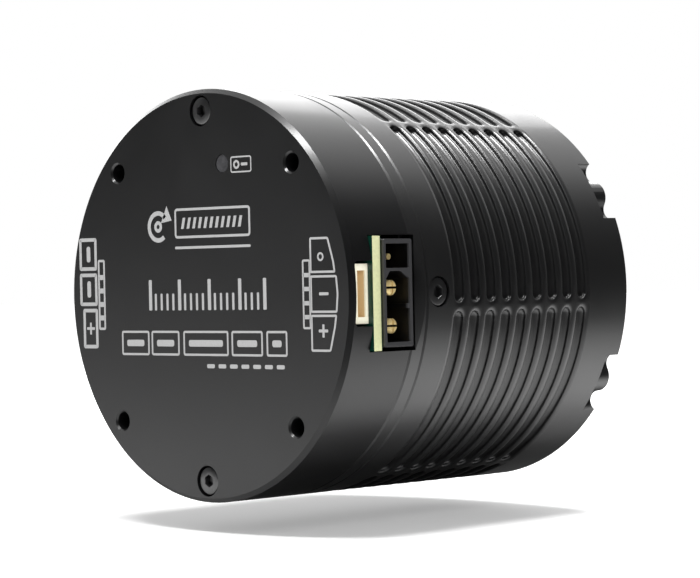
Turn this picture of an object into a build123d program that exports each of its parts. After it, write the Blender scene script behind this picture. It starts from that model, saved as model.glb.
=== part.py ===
from build123d import *
from math import acos, cos, degrees, pi, radians, sin, tan
import os

# Rotary joint actuator: a finned motor and gearbox housing, a closed control end and a flanged output.
# Frame: +Y is the output axis, +X the connector side, +Z up.
# The origin is at the middle of the front mounting face.
# All lengths are millimetres. A station is a distance forward from the rear face.

# Outer body
end_plate_rim = 2.35
rear_edge_chamfer = 0.6
seam_chamfer = 0.25
front_edge_chamfer = 0.35

# Rear cover
cover_face = 2.4
cover_wall = 2.0
cover_screw_setback = 2.95
cover_boss_radius = 2.9
rear_mount_setback = 3.5
rear_mount_hole = 1.25
rear_mount_depth = 8.0
rear_mount_chamfer = 0.25
rear_boss_radius = 2.9
rear_boss_end = 1.0

# Finned housing
housing_wall = 3.0
fin_count = 9
fin_pitch = 3.22
fin_setback = 6.4
slot_width = 1.9
slot_depth = 0.9
sectors = 6
land_width = 1.3
land_angle = -4.3
side_screw_setback = 2.2
side_screw_count = 3

# Front ears
ear_angle = 30.0
ear_setback = 2.3
ear_radius = 2.25
relief_reach = 2.0
relief_offset = 3.12
relief_depth = 3.0
ear_hole = 1.025
ear_hole_depth = 7.0

# Fasteners: head radius, head height, shank radius and socket across flats
small_head = 1.9
small_head_height = 2.0
small_shank = 0.98
small_socket = 1.5
head_clearance = 0.2
side_head_clearance = 0.15
shank_clearance = 0.12
small_socket_depth = 1.0
recess_margin = 0.2
screw_end_gap = 0.1

# Indicator in the rear face
lens_x = 4.1
lens_z = 17.75
lens_radius = 1.2
lens_recess = 0.12
lens_flange = 0.45
lens_flange_height = 0.6

# Control board and its window
board_gap = 1.8
board_thickness = 1.6
boss_clearance = 1.0
tab_setback = 0.4
tab_margin = 0.425
window_clearance = 0.15
window_front_gap = 1.7
cover_margin = 0.85
board_fillet = 1.0
standoff_radius = 2.2
standoff_setback = 3.0
standoff_angle = 60.0
board_screw_head = 1.9
board_screw_head_height = 1.2
board_screw_length = 4.6
window_corner = 0.7

# Power connector
power_depth = 12.0
power_proud = 0.6
power_height = 14.05
power_thickness = 5.3
power_side_wall = 0.38
power_end_wall = 0.62
power_mouth_depth = 8.0
power_centre_z = 0.02
bridge_low = 2.86
bridge_high = 3.25
key_corner_rise = 0.96
key_corner_rear = 0.7
key_corner_front = 1.6
key_rib_height = 0.6
key_rib_reach = 0.45
key_rib_middle = -1.7
power_corner = 0.3
power_pin_radius = 1.0
power_pin_pitch = 5.0
power_pin_middle = -1.8
power_pin_recess = 1.1
pin_leg_radius = 0.7
signal_leg_radius = 0.3
leg_margin = 0.1
pin_slit = 0.3
pin_slit_depth = 4.0
signal_pin_radius = 0.4
signal_pin_pitch = 2.0
signal_pin_z = 4.75
signal_pin_recess = 2.6

# Data connector
data_width = 7.8
data_thickness = 2.4
data_depth = 4.4
data_setback = 0.8
data_wall = 0.45
data_mouth_depth = 3.2
data_contact_count = 4
data_pitch = 1.25
data_contact = 0.4
data_window_rear = 0.8
data_leg = 0.6
data_window_margin = 0.35
window_depth_margin = 0.8

# Motor
hub_lip = 0.4
hub_collar = 0.2
spigot_length = 4.0
spigot_wall = 2.6
housing_fit = 0.02
spigot_gap = 0.9
stator_length = 9.6
stator_teeth = 12
tooth_width = 4.0
tooth_length = 7.18
tooth_tip_height = 1.3
tooth_gap = 2.2
yoke_width = 2.8
coil_width = 1.35
coil_gap = 0.15
coil_overhang = 2.2
coil_yoke_gap = 0.48
coil_tip_gap = 0.3
air_gap = 0.4
magnet_thickness = 2.0
magnet_count = 14
magnet_share = 0.86
rotor_ring_width = 2.0
rotor_web = 2.4
rotor_shaft_radius = 4.0
rotor_shaft_bore = 2.2
rotor_hub_radius = 5.0
phase_wire_radius = 0.9
phase_wire_setback = 2.3
phase_wire_angle = 180.0
phase_wire_step = 24.0
wire_clearance = 0.4

# Motor bearings
motor_bearing_section = 4.0
motor_bearing_width = 4.0
motor_race = 1.1
rear_bearing_setback = 0.65
coil_front_gap = 1.8
plate_web = 0.5
plate_hub_lip = 0.3
hub_wall = 1.6
centre_plate_thickness = 3.0
bearing_lip = 0.8

# Gearing
gear_module = 0.8
sun_teeth = 20
planet_teeth = 16
pressure_angle = 25.0
addendum = 0.8
dedendum = 1.05
backlash = 0.14
planet_count = 3
first_planet_angle = 90.0
ring_back = 4.2
first_stage_width = 3.4
stage_gap = 0.4
second_stage_width = 4.2
planet_pin_radius = 2.0
running_clearance = 0.04
first_carrier_plate = 2.0
pin_end_gap = 0.15
shaft_end_gap = 0.3
carrier_clearance = 3.2
gear_side_gap = 0.3
ring_end_gap = 0.1

# Output
carrier_flange = 1.7
output_bearing_width = 7.0
output_bearing_section = 6.0
bearing_shoulder = 4.0
output_race = 1.6
bearing_shield_recess = 0.4
bearing_shield_gap = 0.3
front_lip = 0.6
front_lip_height = 0.5
retainer_thickness = 1.1
retainer_width = 1.9
output_proud = 2.5
flange_clearance = 0.4
retainer_recess = 0.3
flange_edge_chamfer = 0.5
carrier_plate_thickness = 2.4
carrier_plate_clearance = 2.8
flange_relief = 0.3
retainer_holes = 4
retainer_hole = 0.45
retainer_hole_depth = 0.7
output_hole = 1.25
output_hole_circle = 12.0
output_hole_count = 6
output_hole_depth = 5.5
pilot_radius = 5.0
pilot_depth = 2.0
clamp_screw_head = 2.1
clamp_screw_head_height = 1.5
clamp_screw_shank = 1.25
clamp_screw_angle = 30.0
clamp_screw_circle = 8.3
clamp_screw_length = 8.6

# Position sensing
rod_radius = 1.5
output_magnet_radius = 3.0
output_magnet_height = 1.8
sensor_gap = 0.5
sensor_size = 3.0
sensor_height = 0.9
rotor_magnet_inner = 5.2
rotor_magnet_outer = 8.0
transistor_size = 3.0
transistor_pitch = 4.0
capacitor_radius = 2.0
capacitor_height = 4.0
capacitor_pitch = 4.5
processor_size = 6.0
processor_z = 13.5
transistor_x = 11.4
capacitor_z = 14.0
rotor_flange = 0.8

# Derived radii, from the gearing outward
ring_teeth = sun_teeth + 2 * planet_teeth
sun_pitch_radius = gear_module * sun_teeth / 2
planet_pitch_radius = gear_module * planet_teeth / 2
ring_pitch_radius = gear_module * ring_teeth / 2
planet_orbit = sun_pitch_radius + planet_pitch_radius
first_carrier_radius = ring_pitch_radius - carrier_clearance
carrier_plate_radius = ring_pitch_radius - carrier_plate_clearance
housing_bore = ring_pitch_radius + ring_back
body_radius = housing_bore + housing_wall
cover_bore = body_radius - cover_wall
spigot_radius = housing_bore - housing_fit
output_bearing_radius = housing_bore - bearing_shoulder
output_bearing_bore = output_bearing_radius - output_bearing_section
flange_radius = output_bearing_radius - retainer_width - flange_clearance
motor_bearing_radius = rotor_shaft_radius + motor_bearing_section
yoke_inner = spigot_radius - yoke_width
tooth_bore = yoke_inner - tooth_length
tip_outer = tooth_bore + tooth_tip_height
coil_outer = yoke_inner - coil_yoke_gap
coil_inner = tip_outer + coil_tip_gap
magnet_outer = tooth_bore - air_gap
magnet_inner = magnet_outer - magnet_thickness
rotor_ring_inner = magnet_inner - rotor_ring_width
cover_screw_radius = body_radius - cover_screw_setback
rear_mount_radius = body_radius - rear_mount_setback
ear_circle_radius = body_radius - ear_setback
relief_circle_radius = ear_circle_radius + relief_reach
board_radius = rear_mount_radius - rear_boss_radius - boss_clearance
standoff_circle = board_radius - standoff_setback
phase_wire_circle = board_radius - phase_wire_setback
tab_reach = body_radius - tab_setback
power_face = tab_reach + power_proud
data_face = tab_reach - data_setback
pin_leg_x = power_face - power_depth - 2 * (pin_leg_radius + leg_margin)

# Derived stations, from the rear face forward
board_station = cover_face + board_gap
board_front = board_station + board_thickness
cover_depth = board_front + power_thickness + cover_margin
window_front = board_front + power_thickness + window_front_gap
rear_boss_front = rear_mount_depth + rear_boss_end
output_magnet_rear = board_front + sensor_height + sensor_gap
output_magnet_front = output_magnet_rear + output_magnet_height
shaft_rear = output_magnet_front + shaft_end_gap
rear_bearing_station = cover_depth - rear_bearing_setback
rear_bearing_front = rear_bearing_station + motor_bearing_width
plate_hub_rear = rear_bearing_station - hub_lip
plate_hub_front = rear_bearing_front + hub_collar
end_plate_front = cover_depth + end_plate_rim
spigot_front = end_plate_front + spigot_length
side_screw_station = end_plate_front + side_screw_setback
first_slot_station = end_plate_front + fin_setback
stator_station = spigot_front + spigot_gap
stator_front = stator_station + stator_length
coil_rear = stator_station - coil_overhang
coil_front = stator_front + coil_overhang
centre_plate_station = coil_front + coil_front_gap
centre_plate_front = centre_plate_station + centre_plate_thickness
front_bearing_front = centre_plate_front - plate_web
front_bearing_station = front_bearing_front - motor_bearing_width
centre_hub_rear = front_bearing_station - plate_hub_lip
first_stage_station = centre_plate_front + gear_side_gap
first_stage_front = first_stage_station + first_stage_width
first_plate_station = first_stage_front + gear_side_gap
first_plate_front = first_plate_station + first_carrier_plate
shaft_front = first_plate_front - shaft_end_gap
second_stage_station = first_plate_front + stage_gap
second_stage_front = second_stage_station + second_stage_width
carrier_rear = second_stage_front + gear_side_gap
output_bearing_station = carrier_rear + carrier_flange
output_bearing_front = output_bearing_station + output_bearing_width
carrier_front = output_bearing_station + carrier_plate_thickness
retainer_front = output_bearing_front + retainer_thickness
body_length = retainer_front + retainer_recess
output_face = body_length + output_proud
ring_gear_station = centre_plate_front
ring_gear_length = output_bearing_station - front_lip_height - ring_end_gap - ring_gear_station
pin_rear = centre_plate_front + pin_end_gap
second_pin_rear = first_plate_front + pin_end_gap

# Derived details
cover_screw_length = end_plate_front - small_head_height - recess_margin - screw_end_gap
side_screw_length = housing_wall + spigot_wall - small_head_height - 2 * recess_margin
tab_width = power_height + 2 * tab_margin
tab_half = tab_width / 2
window_half = tab_half + window_clearance
power_middle = board_front + power_thickness / 2
relief_span = (relief_reach**2 + relief_offset**2) ** 0.5
relief_radius = relief_span - ear_radius
relief_share = ear_radius / relief_span
relief_inner = ear_circle_radius + relief_reach * relief_share
relief_half = relief_offset * relief_share
side_angles = [360.0 * index / side_screw_count for index in range(side_screw_count)]
wire_angles = [phase_wire_angle + phase_wire_step * (index - 1) for index in range(3)]
standoff_angles = [standoff_angle, 180 - standoff_angle, 180 + standoff_angle, 360 - standoff_angle]
standoff_spots = [
    (standoff_circle * cos(radians(angle)), standoff_circle * sin(radians(angle))) for angle in standoff_angles
]
clamp_angles = [clamp_screw_angle + 360.0 * index / planet_count for index in range(planet_count)]


def y_at(station):
    """Y of a station."""
    return station - body_length


def facing_rear(station):
    """Sketch plane across the axis: x is X, y is Z, and a negative extrusion runs forward."""
    return Plane(origin=(0, y_at(station), 0), x_dir=(1, 0, 0), z_dir=(0, -1, 0))


def turned(*outline):
    """Half section through the axis from (radius, station) corners, to be revolved."""
    with BuildSketch(Plane.XY) as section:
        with BuildLine():
            Polyline(*[(radius, y_at(station)) for radius, station in outline], close=True)
        make_face()
    return section.sketch


def tube_section(inner, outer, rear, front):
    """Half section of a plain ring."""
    return turned((inner, rear), (outer, rear), (outer, front), (inner, front))


def involute(angle):
    return tan(angle) - angle


def tooth_half_angle(teeth, radius, extra_thickness):
    """Half the angle that an involute tooth covers at a radius."""
    pitch_radius = gear_module * teeth / 2
    alpha = radians(pressure_angle)
    base_radius = pitch_radius * cos(alpha)
    thickness = pi * gear_module / 2 + extra_thickness
    here = acos(min(1.0, base_radius / radius))
    return thickness / (2 * pitch_radius) + involute(alpha) - involute(here)


def toothed_outline(teeth, root_radius, tip_radius, extra_thickness, phase):
    """Closed corner list of a gear, one straight flank on each side of each tooth."""
    root_half = tooth_half_angle(teeth, root_radius, extra_thickness)
    tip_half = tooth_half_angle(teeth, tip_radius, extra_thickness)
    corners = []
    for index in range(teeth):
        centre = radians(phase) + 2 * pi * index / teeth
        for radius, offset in (
            (root_radius, -root_half),
            (tip_radius, -tip_half),
            (tip_radius, tip_half),
            (root_radius, root_half),
        ):
            corners.append((radius * cos(centre + offset), radius * sin(centre + offset)))
    return corners


def gear_face(teeth, phase, bore, plane):
    """Sketch of an outside gear with a bore."""
    pitch_radius = gear_module * teeth / 2
    root_radius = pitch_radius - dedendum * gear_module
    tip_radius = pitch_radius + addendum * gear_module
    with BuildSketch(plane) as sketch:
        with BuildLine():
            Polyline(*toothed_outline(teeth, root_radius, tip_radius, -backlash, phase), close=True)
        make_face()
        Circle(bore, mode=Mode.SUBTRACT)
    return sketch.sketch


def ring_gear_face(plane):
    """Sketch of the inside gear: a disc less the shape of a gear that fills its tooth spaces."""
    space_phase = 180.0 / ring_teeth
    tip_radius = ring_pitch_radius - addendum * gear_module
    root_radius = ring_pitch_radius + dedendum * gear_module
    space_outline = toothed_outline(ring_teeth, tip_radius, root_radius, backlash, space_phase)
    with BuildSketch(plane) as sketch:
        Circle(housing_bore - housing_fit)
        with BuildSketch(plane, mode=Mode.PRIVATE) as spaces:
            with BuildLine():
                Polyline(*space_outline, close=True)
            make_face()
        add(spaces.sketch, mode=Mode.SUBTRACT)
    return sketch.sketch


def planet_phase(orbit_angle):
    """Turn of a planet about itself that puts it in mesh with sun and ring at this place."""
    return orbit_angle * (1 + sun_teeth / planet_teeth) - 180.0 / planet_teeth


def planet_place(angle, station):
    """Sketch plane across the axis, centred on a planet."""
    across = radians(angle)
    return Plane(
        origin=(planet_orbit * cos(across), y_at(station), planet_orbit * sin(across)),
        x_dir=(1, 0, 0),
        z_dir=(0, -1, 0),
    )


def orbit_angles():
    return [first_planet_angle + 360.0 * index / planet_count for index in range(planet_count)]


def socket_screw(head_radius, head_height, shank_radius, length, socket, socket_depth):
    """Socket head screw along -Z, with the top of its head at Z = 0."""
    with BuildPart() as screw:
        with BuildSketch(Plane.XY):
            Circle(head_radius)
        extrude(amount=-head_height)
        chamfer(screw.edges().group_by(Axis.Z)[-1], head_radius * 0.12)
        with BuildSketch(Plane.XY.offset(-head_height)):
            Circle(shank_radius)
        extrude(amount=-length)
        with BuildSketch(Plane.XY):
            RegularPolygon(socket / 2, 6, major_radius=False)
        extrude(amount=-socket_depth, mode=Mode.SUBTRACT)
    return screw.part


def plain_screw(head_radius, head_height, shank_radius, length):
    """Hidden screw along -Z with a plain head, the top of which is at Z = 0."""
    with BuildPart() as screw:
        with BuildSketch(Plane.XY):
            Circle(head_radius)
        extrude(amount=-head_height)
        with BuildSketch(Plane.XY.offset(-head_height)):
            Circle(shank_radius)
        extrude(amount=-length)
    return screw.part


def rear_spot(x, z, station):
    """Place at an X and a Z whose own Z points to the rear."""
    return Plane(origin=(x, y_at(station), z), x_dir=(1, 0, 0), z_dir=(0, -1, 0)).location


def rear_facing_place(radius, angle, station):
    """Place at a radius and angle whose own Z points to the rear."""
    return rear_spot(radius * cos(radians(angle)), radius * sin(radians(angle)), station)


def front_facing_place(radius, angle, station):
    """Place at a radius and angle whose own Z points to the front."""
    across = radians(angle)
    return Plane(
        origin=(radius * cos(across), y_at(station), radius * sin(across)),
        x_dir=(-1, 0, 0),
        z_dir=(0, 1, 0),
    ).location


def outward_place(radius, angle, station):
    """Place on the side of the body whose Z points outward."""
    across = radians(angle)
    return Plane(
        origin=(radius * cos(across), y_at(station), radius * sin(across)),
        x_dir=(0, 1, 0),
        z_dir=(cos(across), 0, sin(across)),
    ).location


def bearing_rings(bore, outer, rear, width, race):
    """Outer and inner ring of a shielded bearing, as two half sections."""
    gap_low = bore + race
    gap_high = outer - race
    shield_edge = gap_low + bearing_shield_gap
    shield_rear = rear + bearing_shield_recess
    shield_front = rear + width - bearing_shield_recess
    outer_section = turned(
        (gap_high, rear),
        (outer, rear),
        (outer, rear + width),
        (gap_high, rear + width),
        (gap_high, shield_front),
        (shield_edge, shield_front),
        (shield_edge, shield_rear),
        (gap_high, shield_rear),
    )
    inner_section = turned(
        (bore, rear),
        (gap_low, rear),
        (gap_low, rear + width),
        (bore, rear + width),
    )
    return outer_section, inner_section


os.makedirs("parts", exist_ok=True)

# Rear cover: a cup with screw bosses, threaded mounting bosses and the connector window
with BuildPart() as rear_cover:
    revolve(
        turned(
            (0, 0),
            (body_radius - rear_edge_chamfer, 0),
            (body_radius, rear_edge_chamfer),
            (body_radius, cover_depth - seam_chamfer),
            (body_radius - seam_chamfer, cover_depth),
            (cover_bore, cover_depth),
            (cover_bore, cover_face),
            (0, cover_face),
        ),
        axis=Axis.Y,
    )
    with BuildSketch(facing_rear(cover_face)):
        with PolarLocations(cover_screw_radius, 2, start_angle=90):
            Circle(cover_boss_radius)
        Circle(body_radius - cover_wall / 2, mode=Mode.INTERSECT)
    extrude(amount=-(cover_depth - cover_face))
    with BuildSketch(facing_rear(cover_face)):
        with PolarLocations(rear_mount_radius, 4, start_angle=45):
            Circle(rear_boss_radius)
        Circle(body_radius - cover_wall / 2, mode=Mode.INTERSECT)
    extrude(amount=-(rear_boss_front - cover_face))
    with Locations(*[rear_facing_place(cover_screw_radius, angle, 0) for angle in (90, 270)]):
        CounterBoreHole(
            small_shank + shank_clearance,
            small_head + head_clearance,
            small_head_height + recess_margin,
            depth=cover_depth,
        )
    with Locations(*[rear_facing_place(rear_mount_radius, angle, 0) for angle in (45, 135, 225, 315)]):
        CounterSinkHole(
            rear_mount_hole,
            rear_mount_hole + rear_mount_chamfer,
            depth=rear_mount_depth,
            counter_sink_angle=90,
        )
    with Locations(rear_spot(lens_x, lens_z, 0)):
        Hole(lens_radius + running_clearance, depth=cover_face)
    with BuildSketch(Plane.YZ.offset(data_face - data_depth - data_leg - window_depth_margin)) as window:
        with Locations((y_at(board_station - window_clearance), 0)):
            Rectangle(2 * cover_depth, 2 * window_half, align=(Align.MIN, Align.CENTER))
        with Locations((y_at(data_window_rear), 0)):
            data_window_width = data_width + 2 * data_window_margin
            Rectangle(board_thickness * 3, data_window_width, align=(Align.MIN, Align.CENTER))
        fillet(window.vertices().group_by(Axis.X)[0], window_corner)
    extrude(amount=body_radius, mode=Mode.SUBTRACT)
rear_cover.part.label = "rear_cover"
export_step(rear_cover.part, "parts/rear_cover.step")

cover_screw = socket_screw(
    small_head, small_head_height, small_shank, cover_screw_length, small_socket, small_socket_depth
)
with BuildPart() as rear_cover_screws:
    with Locations(*[rear_facing_place(cover_screw_radius, angle, recess_margin) for angle in (90, 270)]):
        add(cover_screw)
rear_cover_screws.part.label = "rear_cover_screws"
export_step(rear_cover_screws.part, "parts/rear_cover_screws.step")

# Status lens: a stepped light guide between the rear face and the lamp on the board
with BuildPart() as status_lens:
    with BuildSketch(facing_rear(lens_recess)):
        with Locations((lens_x, lens_z)):
            Circle(lens_radius)
    extrude(amount=-(cover_face - lens_recess))
    chamfer(status_lens.edges().group_by(Axis.Y)[0], lens_radius * 0.2)
    with BuildSketch(facing_rear(cover_face)):
        with Locations((lens_x, lens_z)):
            Circle(lens_radius + lens_flange)
    extrude(amount=-lens_flange_height)
status_lens.part.label = "status_lens"
export_step(status_lens.part, "parts/status_lens.step")

with BuildPart() as status_led:
    with BuildSketch(facing_rear(board_station)):
        with Locations((lens_x, lens_z)):
            Rectangle(sensor_size * 0.55, sensor_size * 0.4)
    extrude(amount=board_station - cover_face - lens_flange_height - sensor_gap / 2)
status_led.part.label = "status_led"
export_step(status_led.part, "parts/status_led.step")

# End plate: the thin ring between cover and housing, with the rear bearing hub and a spigot
hub_radius = motor_bearing_radius + hub_wall
pocket_radius = motor_bearing_radius + housing_fit
with BuildPart() as end_plate:
    revolve(
        turned(
            (motor_bearing_radius - bearing_lip, plate_hub_rear),
            (hub_radius, plate_hub_rear),
            (hub_radius, cover_depth),
            (body_radius - seam_chamfer, cover_depth),
            (body_radius, cover_depth + seam_chamfer),
            (body_radius, end_plate_front - seam_chamfer),
            (body_radius - seam_chamfer, end_plate_front),
            (spigot_radius, end_plate_front),
            (spigot_radius, spigot_front),
            (housing_bore - spigot_wall, spigot_front),
            (housing_bore - spigot_wall, end_plate_front),
            (hub_radius, end_plate_front),
            (hub_radius, plate_hub_front),
            (pocket_radius, plate_hub_front),
            (pocket_radius, rear_bearing_station),
            (motor_bearing_radius - bearing_lip, rear_bearing_station),
        ),
        axis=Axis.Y,
    )
    with Locations(*[rear_facing_place(cover_screw_radius, angle, cover_depth) for angle in (90, 270)]):
        Hole(small_shank + housing_fit, depth=end_plate_rim)
    with Locations(*[outward_place(body_radius, angle, side_screw_station) for angle in side_angles]):
        Hole(small_shank + housing_fit, depth=housing_wall + spigot_wall + 1)
    with Locations(*[rear_facing_place(phase_wire_circle, angle, cover_depth) for angle in wire_angles]):
        Hole(phase_wire_radius + wire_clearance, depth=end_plate_rim)
    window_floor = (body_radius**2 - window_half**2) ** 0.5
    with BuildSketch(Plane.XY):
        with BuildLine():
            Polyline(
                (spigot_radius, y_at(cover_depth - 1)),
                (body_radius + 2, y_at(cover_depth - 1)),
                (body_radius + 2, y_at(window_front + body_radius + 2 - window_floor)),
                (window_floor, y_at(window_front)),
                (spigot_radius, y_at(window_front)),
                close=True,
            )
        make_face()
    extrude(amount=window_half, both=True, mode=Mode.SUBTRACT)
end_plate.part.label = "end_plate"
export_step(end_plate.part, "parts/end_plate.step")

# Milling path of one cooling slot: an arc whose round ends are kept to eight-sided shapes, few faces each
slot_half_angle = degrees(slot_width / 2 / body_radius)
land_half_angle = degrees(land_width / 2 / body_radius)
slot_sweep = 360.0 / sectors - 2 * land_half_angle - 2 * slot_half_angle
slot_start = land_angle + land_half_angle + slot_half_angle
slot_floor = body_radius - slot_depth
with BuildPart() as slot_cutter:
    with BuildSketch(Plane.XY):
        with Locations((slot_floor, 0)):
            Rectangle(slot_depth + 1, slot_width, align=(Align.MIN, Align.CENTER))
    revolve(axis=Axis.Y, revolution_arc=-slot_sweep)
    for end_angle in (0, slot_sweep):
        with BuildSketch(Plane(outward_place(slot_floor, end_angle, body_length))):
            RegularPolygon(slot_width / 2, 8, major_radius=False, rotation=22.5)
        extrude(amount=slot_depth + 1)

slot_places = []
for row in range(fin_count):
    for sector in range(sectors):
        slot_turn = slot_start + sector * 360.0 / sectors
        slot_station = first_slot_station + row * fin_pitch
        slot_places.append(Location((0, y_at(slot_station), 0), (0, 1, 0), -slot_turn))

# Main housing: a bored tube with rows of slots, side screw holes and six relieved ears round the front
with BuildPart() as main_housing:
    revolve(
        turned(
            (housing_bore, end_plate_front),
            (body_radius - seam_chamfer, end_plate_front),
            (body_radius, end_plate_front + seam_chamfer),
            (body_radius, body_length),
            (output_bearing_radius, body_length),
            (output_bearing_radius, output_bearing_station),
            (output_bearing_radius - front_lip, output_bearing_station),
            (output_bearing_radius - front_lip, output_bearing_station - front_lip_height),
            (housing_bore, output_bearing_station - front_lip_height),
        ),
        axis=Axis.Y,
    )
    with BuildSketch(facing_rear(body_length)):
        with PolarLocations(0, sectors, start_angle=ear_angle):
            with Locations((relief_inner, 0)):
                Rectangle(2 * relief_radius, 2 * relief_half, align=(Align.MIN, Align.CENTER))
            with Locations((relief_circle_radius, relief_offset), (relief_circle_radius, -relief_offset)):
                Circle(relief_radius)
        with PolarLocations(ear_circle_radius, sectors, start_angle=ear_angle):
            Circle(ear_radius, mode=Mode.SUBTRACT)
    extrude(amount=relief_depth, mode=Mode.SUBTRACT)
    front_face = main_housing.faces().filter_by(Axis.Y).sort_by(Axis.Y)[-1]
    chamfer(front_face.outer_wire().edges(), front_edge_chamfer)
    ear_angles = [ear_angle + 360.0 * index / sectors for index in range(sectors)]
    with Locations(*[front_facing_place(ear_circle_radius, angle, body_length) for angle in ear_angles]):
        Hole(ear_hole, depth=ear_hole_depth)
    with Locations(*[outward_place(body_radius, angle, side_screw_station) for angle in side_angles]):
        CounterBoreHole(
            small_shank + shank_clearance,
            small_head + side_head_clearance,
            small_head_height + recess_margin,
            depth=housing_wall + 1,
        )
    with Locations(*slot_places):
        add(slot_cutter.part, mode=Mode.SUBTRACT)
main_housing.part.label = "main_housing"
export_step(main_housing.part, "parts/main_housing.step")

side_screw = socket_screw(
    small_head, small_head_height, small_shank, side_screw_length, small_socket, small_socket_depth
)
side_head_top = body_radius - recess_margin
with BuildPart() as housing_side_screws:
    with Locations(*[outward_place(side_head_top, angle, side_screw_station) for angle in side_angles]):
        add(side_screw)
housing_side_screws.part.label = "housing_side_screws"
export_step(housing_side_screws.part, "parts/housing_side_screws.step")

# Control board: a disc with a tab that fills the window
with BuildPart() as controller_board:
    with BuildSketch(facing_rear(board_station)) as board_outline:
        Circle(board_radius)
        Rectangle(tab_reach, tab_width, align=(Align.MIN, Align.CENTER))
        inner_corners = board_outline.vertices().filter_by(lambda corner: corner.X < board_radius)
        fillet(inner_corners.filter_by(lambda corner: abs(abs(corner.Y) - tab_half) < 0.01), board_fillet)
        with Locations(*standoff_spots):
            Circle(small_shank + shank_clearance, mode=Mode.SUBTRACT)
    extrude(amount=-board_thickness)
controller_board.part.label = "controller_board"
export_step(controller_board.part, "parts/controller_board.step")

# Chips under the two magnets, a processor, power transistors and capacitors, all on the front of the board
with BuildPart() as board_components:
    with BuildSketch(facing_rear(board_front)):
        Rectangle(sensor_size, sensor_size)
        with Locations(((rotor_magnet_inner + rotor_magnet_outer) / 2, 0)):
            Rectangle(sensor_size * 0.8, sensor_size)
        with Locations((0, processor_z)):
            Rectangle(processor_size, processor_size)
        with Locations((-transistor_x, 0)):
            with GridLocations(transistor_pitch, transistor_pitch, 3, 2):
                Rectangle(transistor_size, transistor_size)
    extrude(amount=-sensor_height)
    with BuildSketch(facing_rear(board_front)):
        with Locations((0, -capacitor_z)):
            with GridLocations(capacitor_pitch, 1, 3, 1):
                Circle(capacitor_radius)
    extrude(amount=-capacitor_height)
board_components.part.label = "board_components"
export_step(board_components.part, "parts/board_components.step")

with BuildPart() as board_standoffs:
    with BuildSketch(facing_rear(board_front)):
        with Locations(*standoff_spots):
            RegularPolygon(standoff_radius, 6)
    extrude(amount=-(cover_depth - board_front))
    with Locations(*[rear_facing_place(standoff_circle, angle, board_front) for angle in standoff_angles]):
        Hole(small_shank + housing_fit, depth=cover_depth - board_front - 1)
board_standoffs.part.label = "board_standoffs"
export_step(board_standoffs.part, "parts/board_standoffs.step")

board_screw = plain_screw(board_screw_head, board_screw_head_height, small_shank, board_screw_length)
board_screw_top = board_station - board_screw_head_height
with BuildPart() as board_screws:
    with Locations(*[rear_spot(x, z, board_screw_top) for x, z in standoff_spots]):
        add(board_screw)
board_screws.part.label = "board_screws"
export_step(board_screws.part, "parts/board_screws.step")

# Power connector: one body, a keyed recess for two round contacts and a square one for two signal contacts
power_low = power_centre_z - power_height / 2 + power_end_wall
power_high = power_centre_z + power_height / 2 - power_end_wall
recess_rear = board_front + power_side_wall
recess_front = board_front + power_thickness - power_side_wall - 0.15
power_pin_heights = [power_pin_middle + power_pin_pitch / 2, power_pin_middle - power_pin_pitch / 2]
signal_stations = [power_middle - signal_pin_pitch / 2, power_middle + signal_pin_pitch / 2]
with BuildPart() as power_connector:
    with BuildSketch(Plane.YZ.offset(power_face)):
        with Locations((y_at(power_middle), power_centre_z)):
            RectangleRounded(power_thickness, power_height, power_corner)
    extrude(amount=-power_depth)
    with BuildSketch(Plane.YZ.offset(power_face)):
        with BuildLine():
            Polyline(
                (y_at(recess_rear), power_low),
                (y_at(recess_front), power_low),
                (y_at(recess_front), key_rib_middle - key_rib_height / 2),
                (y_at(recess_front - key_rib_reach), key_rib_middle - key_rib_height / 2),
                (y_at(recess_front - key_rib_reach), key_rib_middle + key_rib_height / 2),
                (y_at(recess_front), key_rib_middle + key_rib_height / 2),
                (y_at(recess_front), bridge_low - key_corner_rise),
                (y_at(recess_front - key_corner_front), bridge_low),
                (y_at(recess_rear + key_corner_rear), bridge_low),
                (y_at(recess_rear), bridge_low - key_corner_rise),
                close=True,
            )
        make_face()
        with Locations((y_at((recess_rear + recess_front) / 2), (bridge_high + power_high) / 2)):
            Rectangle(recess_front - recess_rear, power_high - bridge_high)
    extrude(amount=-power_mouth_depth, mode=Mode.SUBTRACT)
    with BuildSketch(Plane.YZ.offset(power_face)):
        with Locations(*[(y_at(power_middle), height) for height in power_pin_heights]):
            Circle(power_pin_radius)
        with Locations(*[(y_at(station), signal_pin_z) for station in signal_stations]):
            Circle(signal_pin_radius)
    extrude(amount=-power_depth, mode=Mode.SUBTRACT)
power_connector.part.label = "power_connector"
export_step(power_connector.part, "parts/power_connector.step")

# Power contacts: split round pins, each with a leg down to the board
with BuildPart() as power_pins:
    with BuildSketch(Plane.YZ.offset(power_face - power_pin_recess)):
        with Locations(*[(y_at(power_middle), height) for height in power_pin_heights]):
            Circle(power_pin_radius)
    extrude(amount=-(power_face - power_pin_recess - pin_leg_x))
    chamfer(power_pins.edges().group_by(Axis.X)[-1], power_pin_radius * 0.3)
    with BuildSketch(facing_rear(board_front)):
        with Locations(*[(pin_leg_x + pin_leg_radius + leg_margin, height) for height in power_pin_heights]):
            Circle(pin_leg_radius)
    extrude(amount=-(power_middle - board_front))
    with BuildSketch(Plane.YZ.offset(power_face - power_pin_recess)):
        with Locations(*[(y_at(power_middle), height) for height in power_pin_heights]):
            Rectangle(pin_slit, 2 * power_pin_radius)
            Rectangle(2 * power_pin_radius, pin_slit)
    extrude(amount=-pin_slit_depth, mode=Mode.SUBTRACT)
power_pins.part.label = "power_pins"
export_step(power_pins.part, "parts/power_pins.step")

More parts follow.
